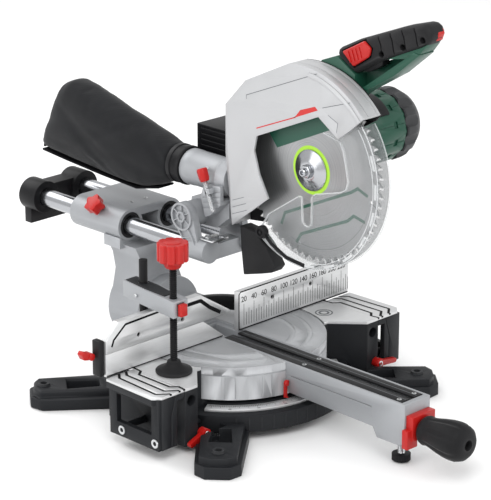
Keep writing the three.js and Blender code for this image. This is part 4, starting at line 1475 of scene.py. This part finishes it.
@dataclass
class DustBag:
    """The woven dust bag: a sack blown out a little, gathered on its collar and closed by a strip."""

    neck: float = 27.0
    stations: Tuple[Tuple[float, float, float, float, float], ...] = (
        (101.5, 296.0, 101.5, 348.0, 27.0), (112, 291, 113, 351, 27.5), (128, 284, 128, 356, 29),
        (160, 275, 165, 366, 31), (200, 274, 210, 379, 32), (250, 277, 250, 390, 32),
        (300, 281, 285, 399, 31), (345, 284.5, 312, 404, 29), (372, 287, 331, 396, 26),
        (386, 289, 344, 378, 20),
    )

    def build(self) -> None:
        """Builds the collar, the sack and its binding."""
        self.collar()
        self.sack()
        self.binding()

    def collar(self) -> None:
        """The stiff ring that pushes on to the outlet, with two raised bands."""
        profile = [
            (21.8, 0), (27.4, 0), (28, 1), (28, 5), (26.8, 6), (26.8, 16), (28, 17), (28, 23.4),
            (21.8, 23.4), (21.8, 0)
        ]
        ring = Bench.turned("dust_collar_shape", profile, at(-2, 76.4, 322), Vector((0, 1, 0)), 56)
        Shop.fit(Bench.soften(ring, 0), BLACK, "head", ["dust_collar"])

    def hoop(
        self, station: Tuple[float, float, float, float, float], share: float, steps: int
    ) -> List[Vector]:
        """One closed loop round the bag.

        Args:
            station: The low point's y and z, the high point's y and z, and the half width.
            share: How far along the bag the loop is, from 0 to 1.
            steps: Points in the loop.
        """
        low_y, low_z, high_y, high_z, half = station
        power = 1.0 + 1.1 * min(1.0, share * 3)
        points = []
        for i in range(steps):
            a = math.tau * i / steps
            side, up = math.cos(a), math.sin(a)
            side = math.copysign(abs(side) ** (2 / (1 + power)), side)
            up = math.copysign(abs(up) ** (2 / (1 + power)), up)
            gather = 1.0 + 0.035 * math.sin(13 * a) * max(0.0, 1 - share * 4)
            lift = 0.5 + 0.5 * up * gather
            y = low_y + (high_y - low_y) * lift
            z = low_z + (high_z - low_z) * lift
            points.append(at(-2 + half * side * gather, y, z))
        return points

    def sack(self) -> None:
        """The sack itself, lofted, then blown out as cloth and smoothed."""
        steps = 48
        loops: List[List[Vector]] = []
        rows = 6
        for first, second in zip(self.stations, self.stations[1:]):
            for k in range(rows):
                mix = k / rows
                ease = mix * mix * (3 - 2 * mix) * 0.3 + mix * 0.7
                station = tuple(a + (b - a) * ease for a, b in zip(first, second))
                share = (self.stations.index(first) + mix) / (len(self.stations) - 1)
                loops.append(self.hoop(station, share, steps))
        loops.append(self.hoop(self.stations[-1], 1.0, steps))
        points = [p for loop in loops for p in loop]
        faces = []
        for row in range(len(loops) - 1):
            for i in range(steps):
                j = (i + 1) % steps
                faces.append((row * steps + i, row * steps + j, (row + 1) * steps + j, (row + 1) * steps + i))
        faces.append(tuple(reversed(range(steps))))
        faces.append(tuple(range((len(loops) - 1) * steps, len(loops) * steps)))
        sack = Bench.heal(Bench.sketch("dust_bag_shape", points, faces=faces))
        Bench.apply(sack, "REMESH", mode="VOXEL", voxel_size=0.0045)
        self.blow(sack)
        self.crease(sack)
        Bench.apply(sack, "SMOOTH", factor=0.5, iterations=2)
        Bench.apply(sack, "SUBSURF", levels=1, render_levels=1)
        Bench.pick(sack)
        bpy.ops.object.shade_smooth()
        Shop.fit(sack, CLOTH, "head", ["dust_bag"])

    def blow(self, sack: bpy.types.Object) -> None:
        """Lets the cloth fill with air for a moment, without moving far from its cut."""
        before = [v.co.copy() for v in sack.data.vertices]
        hold = sack.vertex_groups.new(name="hold")
        neck_y = at(0, 112, 0).y
        hold.add([v.index for v in sack.data.vertices if v.co.y < neck_y], 1.0, "REPLACE")
        cloth = sack.modifiers.new("Cloth", "CLOTH")
        cloth.settings.quality = 5
        cloth.settings.mass = 0.25
        cloth.settings.use_pressure = True
        cloth.settings.uniform_pressure_force = 2.6
        cloth.settings.tension_stiffness = 22
        cloth.settings.compression_stiffness = 18
        cloth.settings.bending_stiffness = 0.35
        cloth.settings.vertex_group_mass = "hold"
        cloth.settings.effector_weights.gravity = 0.0
        scene = bpy.context.scene
        for frame in range(1, 17):
            scene.frame_set(frame)
        Bench.pick(sack)
        bpy.ops.object.modifier_apply(modifier="Cloth")
        scene.frame_set(1)
        sack.vertex_groups.clear()
        for vertex, home in zip(sack.data.vertices, before):
            drift = vertex.co - home
            if drift.length > 0.006:
                vertex.co = home + drift.normalized() * 0.006

    def crease(self, sack: bpy.types.Object) -> None:
        """Shallow folds: gathers that run back from the collar and slack dents on the flanks."""
        rng = random.Random(7)
        dents = [
            (at(
                rng.choice((-34, 30)), 130 + rng.random() * 220, 290 + rng.random() * 90
            ), 18 + 22 * rng.random(),
             rng.uniform(-0.5, 0.8), (0.6 + rng.random()) * 1.5)
            for _ in range(26)
        ]
        for vertex in sack.data.vertices:
            push = 0.0
            for centre, reach, slope, depth in dents:
                if (vertex.co.x - at(-2, 0, 0).x) * (centre.x - at(-2, 0, 0).x) < 0:
                    continue
                dy = (vertex.co.y - centre.y) / MM
                dz = (vertex.co.z - centre.z) / MM - slope * dy
                push += depth * math.exp(-((dy / (2.2 * reach)) ** 2) - (dz / 6.5) ** 2)
            vertex.co.x -= math.copysign(min(4.0, push) * MM, vertex.co.x - at(-2, 0, 0).x)

    def binding(self) -> None:
        """The stiff closing strip along the bottom and up the back edge."""
        path = [(128, 281.5), (176, 270.6), (250, 274.5), (330, 280.5), (382, 285.2)]
        strip = Bench.soften(Bench.slab("bag_closing_strip", ribbon(path, 3.4), Axis.X, -17, 13), 1.2)
        Shop.fit(strip, PIPING, "head")
        back = [(385, 287), (383, 300), (372, 325), (357, 356), (345, 377), (338, 386)]
        seam = Bench.soften(Bench.slab("bag_back_seam", ribbon(back, 2.6), Axis.X, -11, 7), 1.0)
        Shop.fit(seam, PIPING, "head")


@dataclass
class WorkClamp:
    """The hold-down clamp: post, arm, threaded spindle, knob and pad."""

    post: Flat = (-146.0, 20.0)
    spindle: Flat = (-158.0, -52.0)

    def build(self) -> None:
        """Builds the clamp from its post outwards."""
        Shop.refine("clamp_post", BLACK, 0.9)
        lid = [(-155.5, 45), (-136.5, 45), (-138.5, 0), (-146.5, -40), (-163, -40), (-161.5, 0)]
        Shop.refine("clamp_arm", CAST, 1.8)
        cover = Bench.soften(Bench.slab("clamp_cover", lid, Axis.Z, 198.8, 200.3), 0.5)
        Bench.cut(cover, Bench.drum("tool", (*self.post, 199), Axis.Z, 7.2, 6, 32))
        Shop.fit(cover, DARK, "clamp")
        Shop.fit(screw("clamp_screw_head", (-164.8, 16, 186), Vector((-1, 0, 0.05)), 2.4), STEEL, "clamp")
        Shop.refine("clamp_release", RED, 1.5)
        self.thread()
        self.knob()
        self.pad()

    def thread(self) -> None:
        """The black spindle with its coarse thread."""
        profile: List[Flat] = [(0, 0.6), (4.3, 0.6)]
        turns = 45
        for i in range(turns):
            profile += [(4.1, 1.4 + 3 * i), (5.15, 2.5 + 3 * i), (5.15, 3.2 + 3 * i)]
        profile += [(4.2, 3 * turns + 2), (0, 3 * turns + 2)]
        rod = Bench.turned("clamp_spindle", profile, at(*self.spindle, 110.4), Vector((0, 0, 1)), 24)
        Shop.fit(Bench.soften(rod, 0), BLACK, "clamp_screw")

    def knob(self) -> None:
        """The red knob with wide flats between its grooves."""
        rim: List[Flat] = []
        lobes = 9
        for i in range(lobes * 12):
            t = math.tau * i / (lobes * 12)
            groove = max(0.0, math.cos(lobes * t)) ** 3
            r = 21.2 - 3.0 * groove
            rim.append((self.spindle[0] + r * math.cos(t), self.spindle[1] + r * math.sin(t)))
        body = Bench.soften(Bench.slab("knob", rim, Axis.Z, 252, 277.5), 1.8, 3)
        skirt = Bench.turned(
            "skirt", [(0, 242.2), (10, 242.2), (11.4, 244), (13, 248), (18.2, 252.4), (18.2, 254), (0, 254)],
            at(*self.spindle, 0), Vector((0, 0, 1)), 48,
        )
        hat = Bench.turned(
            "hat", [(0, 276), (12.5, 276), (12.5, 278), (11, 278.6), (0, 278.6)], at(*self.spindle, 0),
            Vector((0, 0, 1)), 48
        )
        piece = Bench.gather("clamp_knob", [body, Bench.soften(skirt, 0), hat])
        Shop.fit(Bench.soften(piece, 0), RED, "clamp_screw", ["clamp_screw"])

    def pad(self) -> None:
        """The rubber pad on the spindle's foot."""
        profile = [
            (0, 0), (24.2, 0), (25, 0.8), (25, 3.2), (24, 4.4), (18, 6.4), (12.5, 9.6), (9.8, 13),
            (9, 16.2), (8.2, 16.8), (0, 16.8),
        ]
        pad = Bench.turned("clamp_pad_shape", profile, at(*self.spindle, 93.6), Vector((0, 0, 1)), 56)
        Shop.fit(Bench.soften(pad, 0), RUBBER, "clamp_pad", ["clamp_pad"])


def main() -> None:
    """Builds the studio and then the saw, from the base upwards."""
    logging.basicConfig(level=logging.INFO, format="%(message)s")
    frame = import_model()
    Shop.nodes = frame["nodes"]
    Studio().build()
    for part in (
        Base(), Extensions(), Fences(), Turntable(), Headstock(), Head(), Cutting(), DustBag(), WorkClamp()
    ):
        part.build()
        log.info("%s done, %d pieces so far", type(part).__name__, Shop.count)


if __name__ == "__main__":
    main()
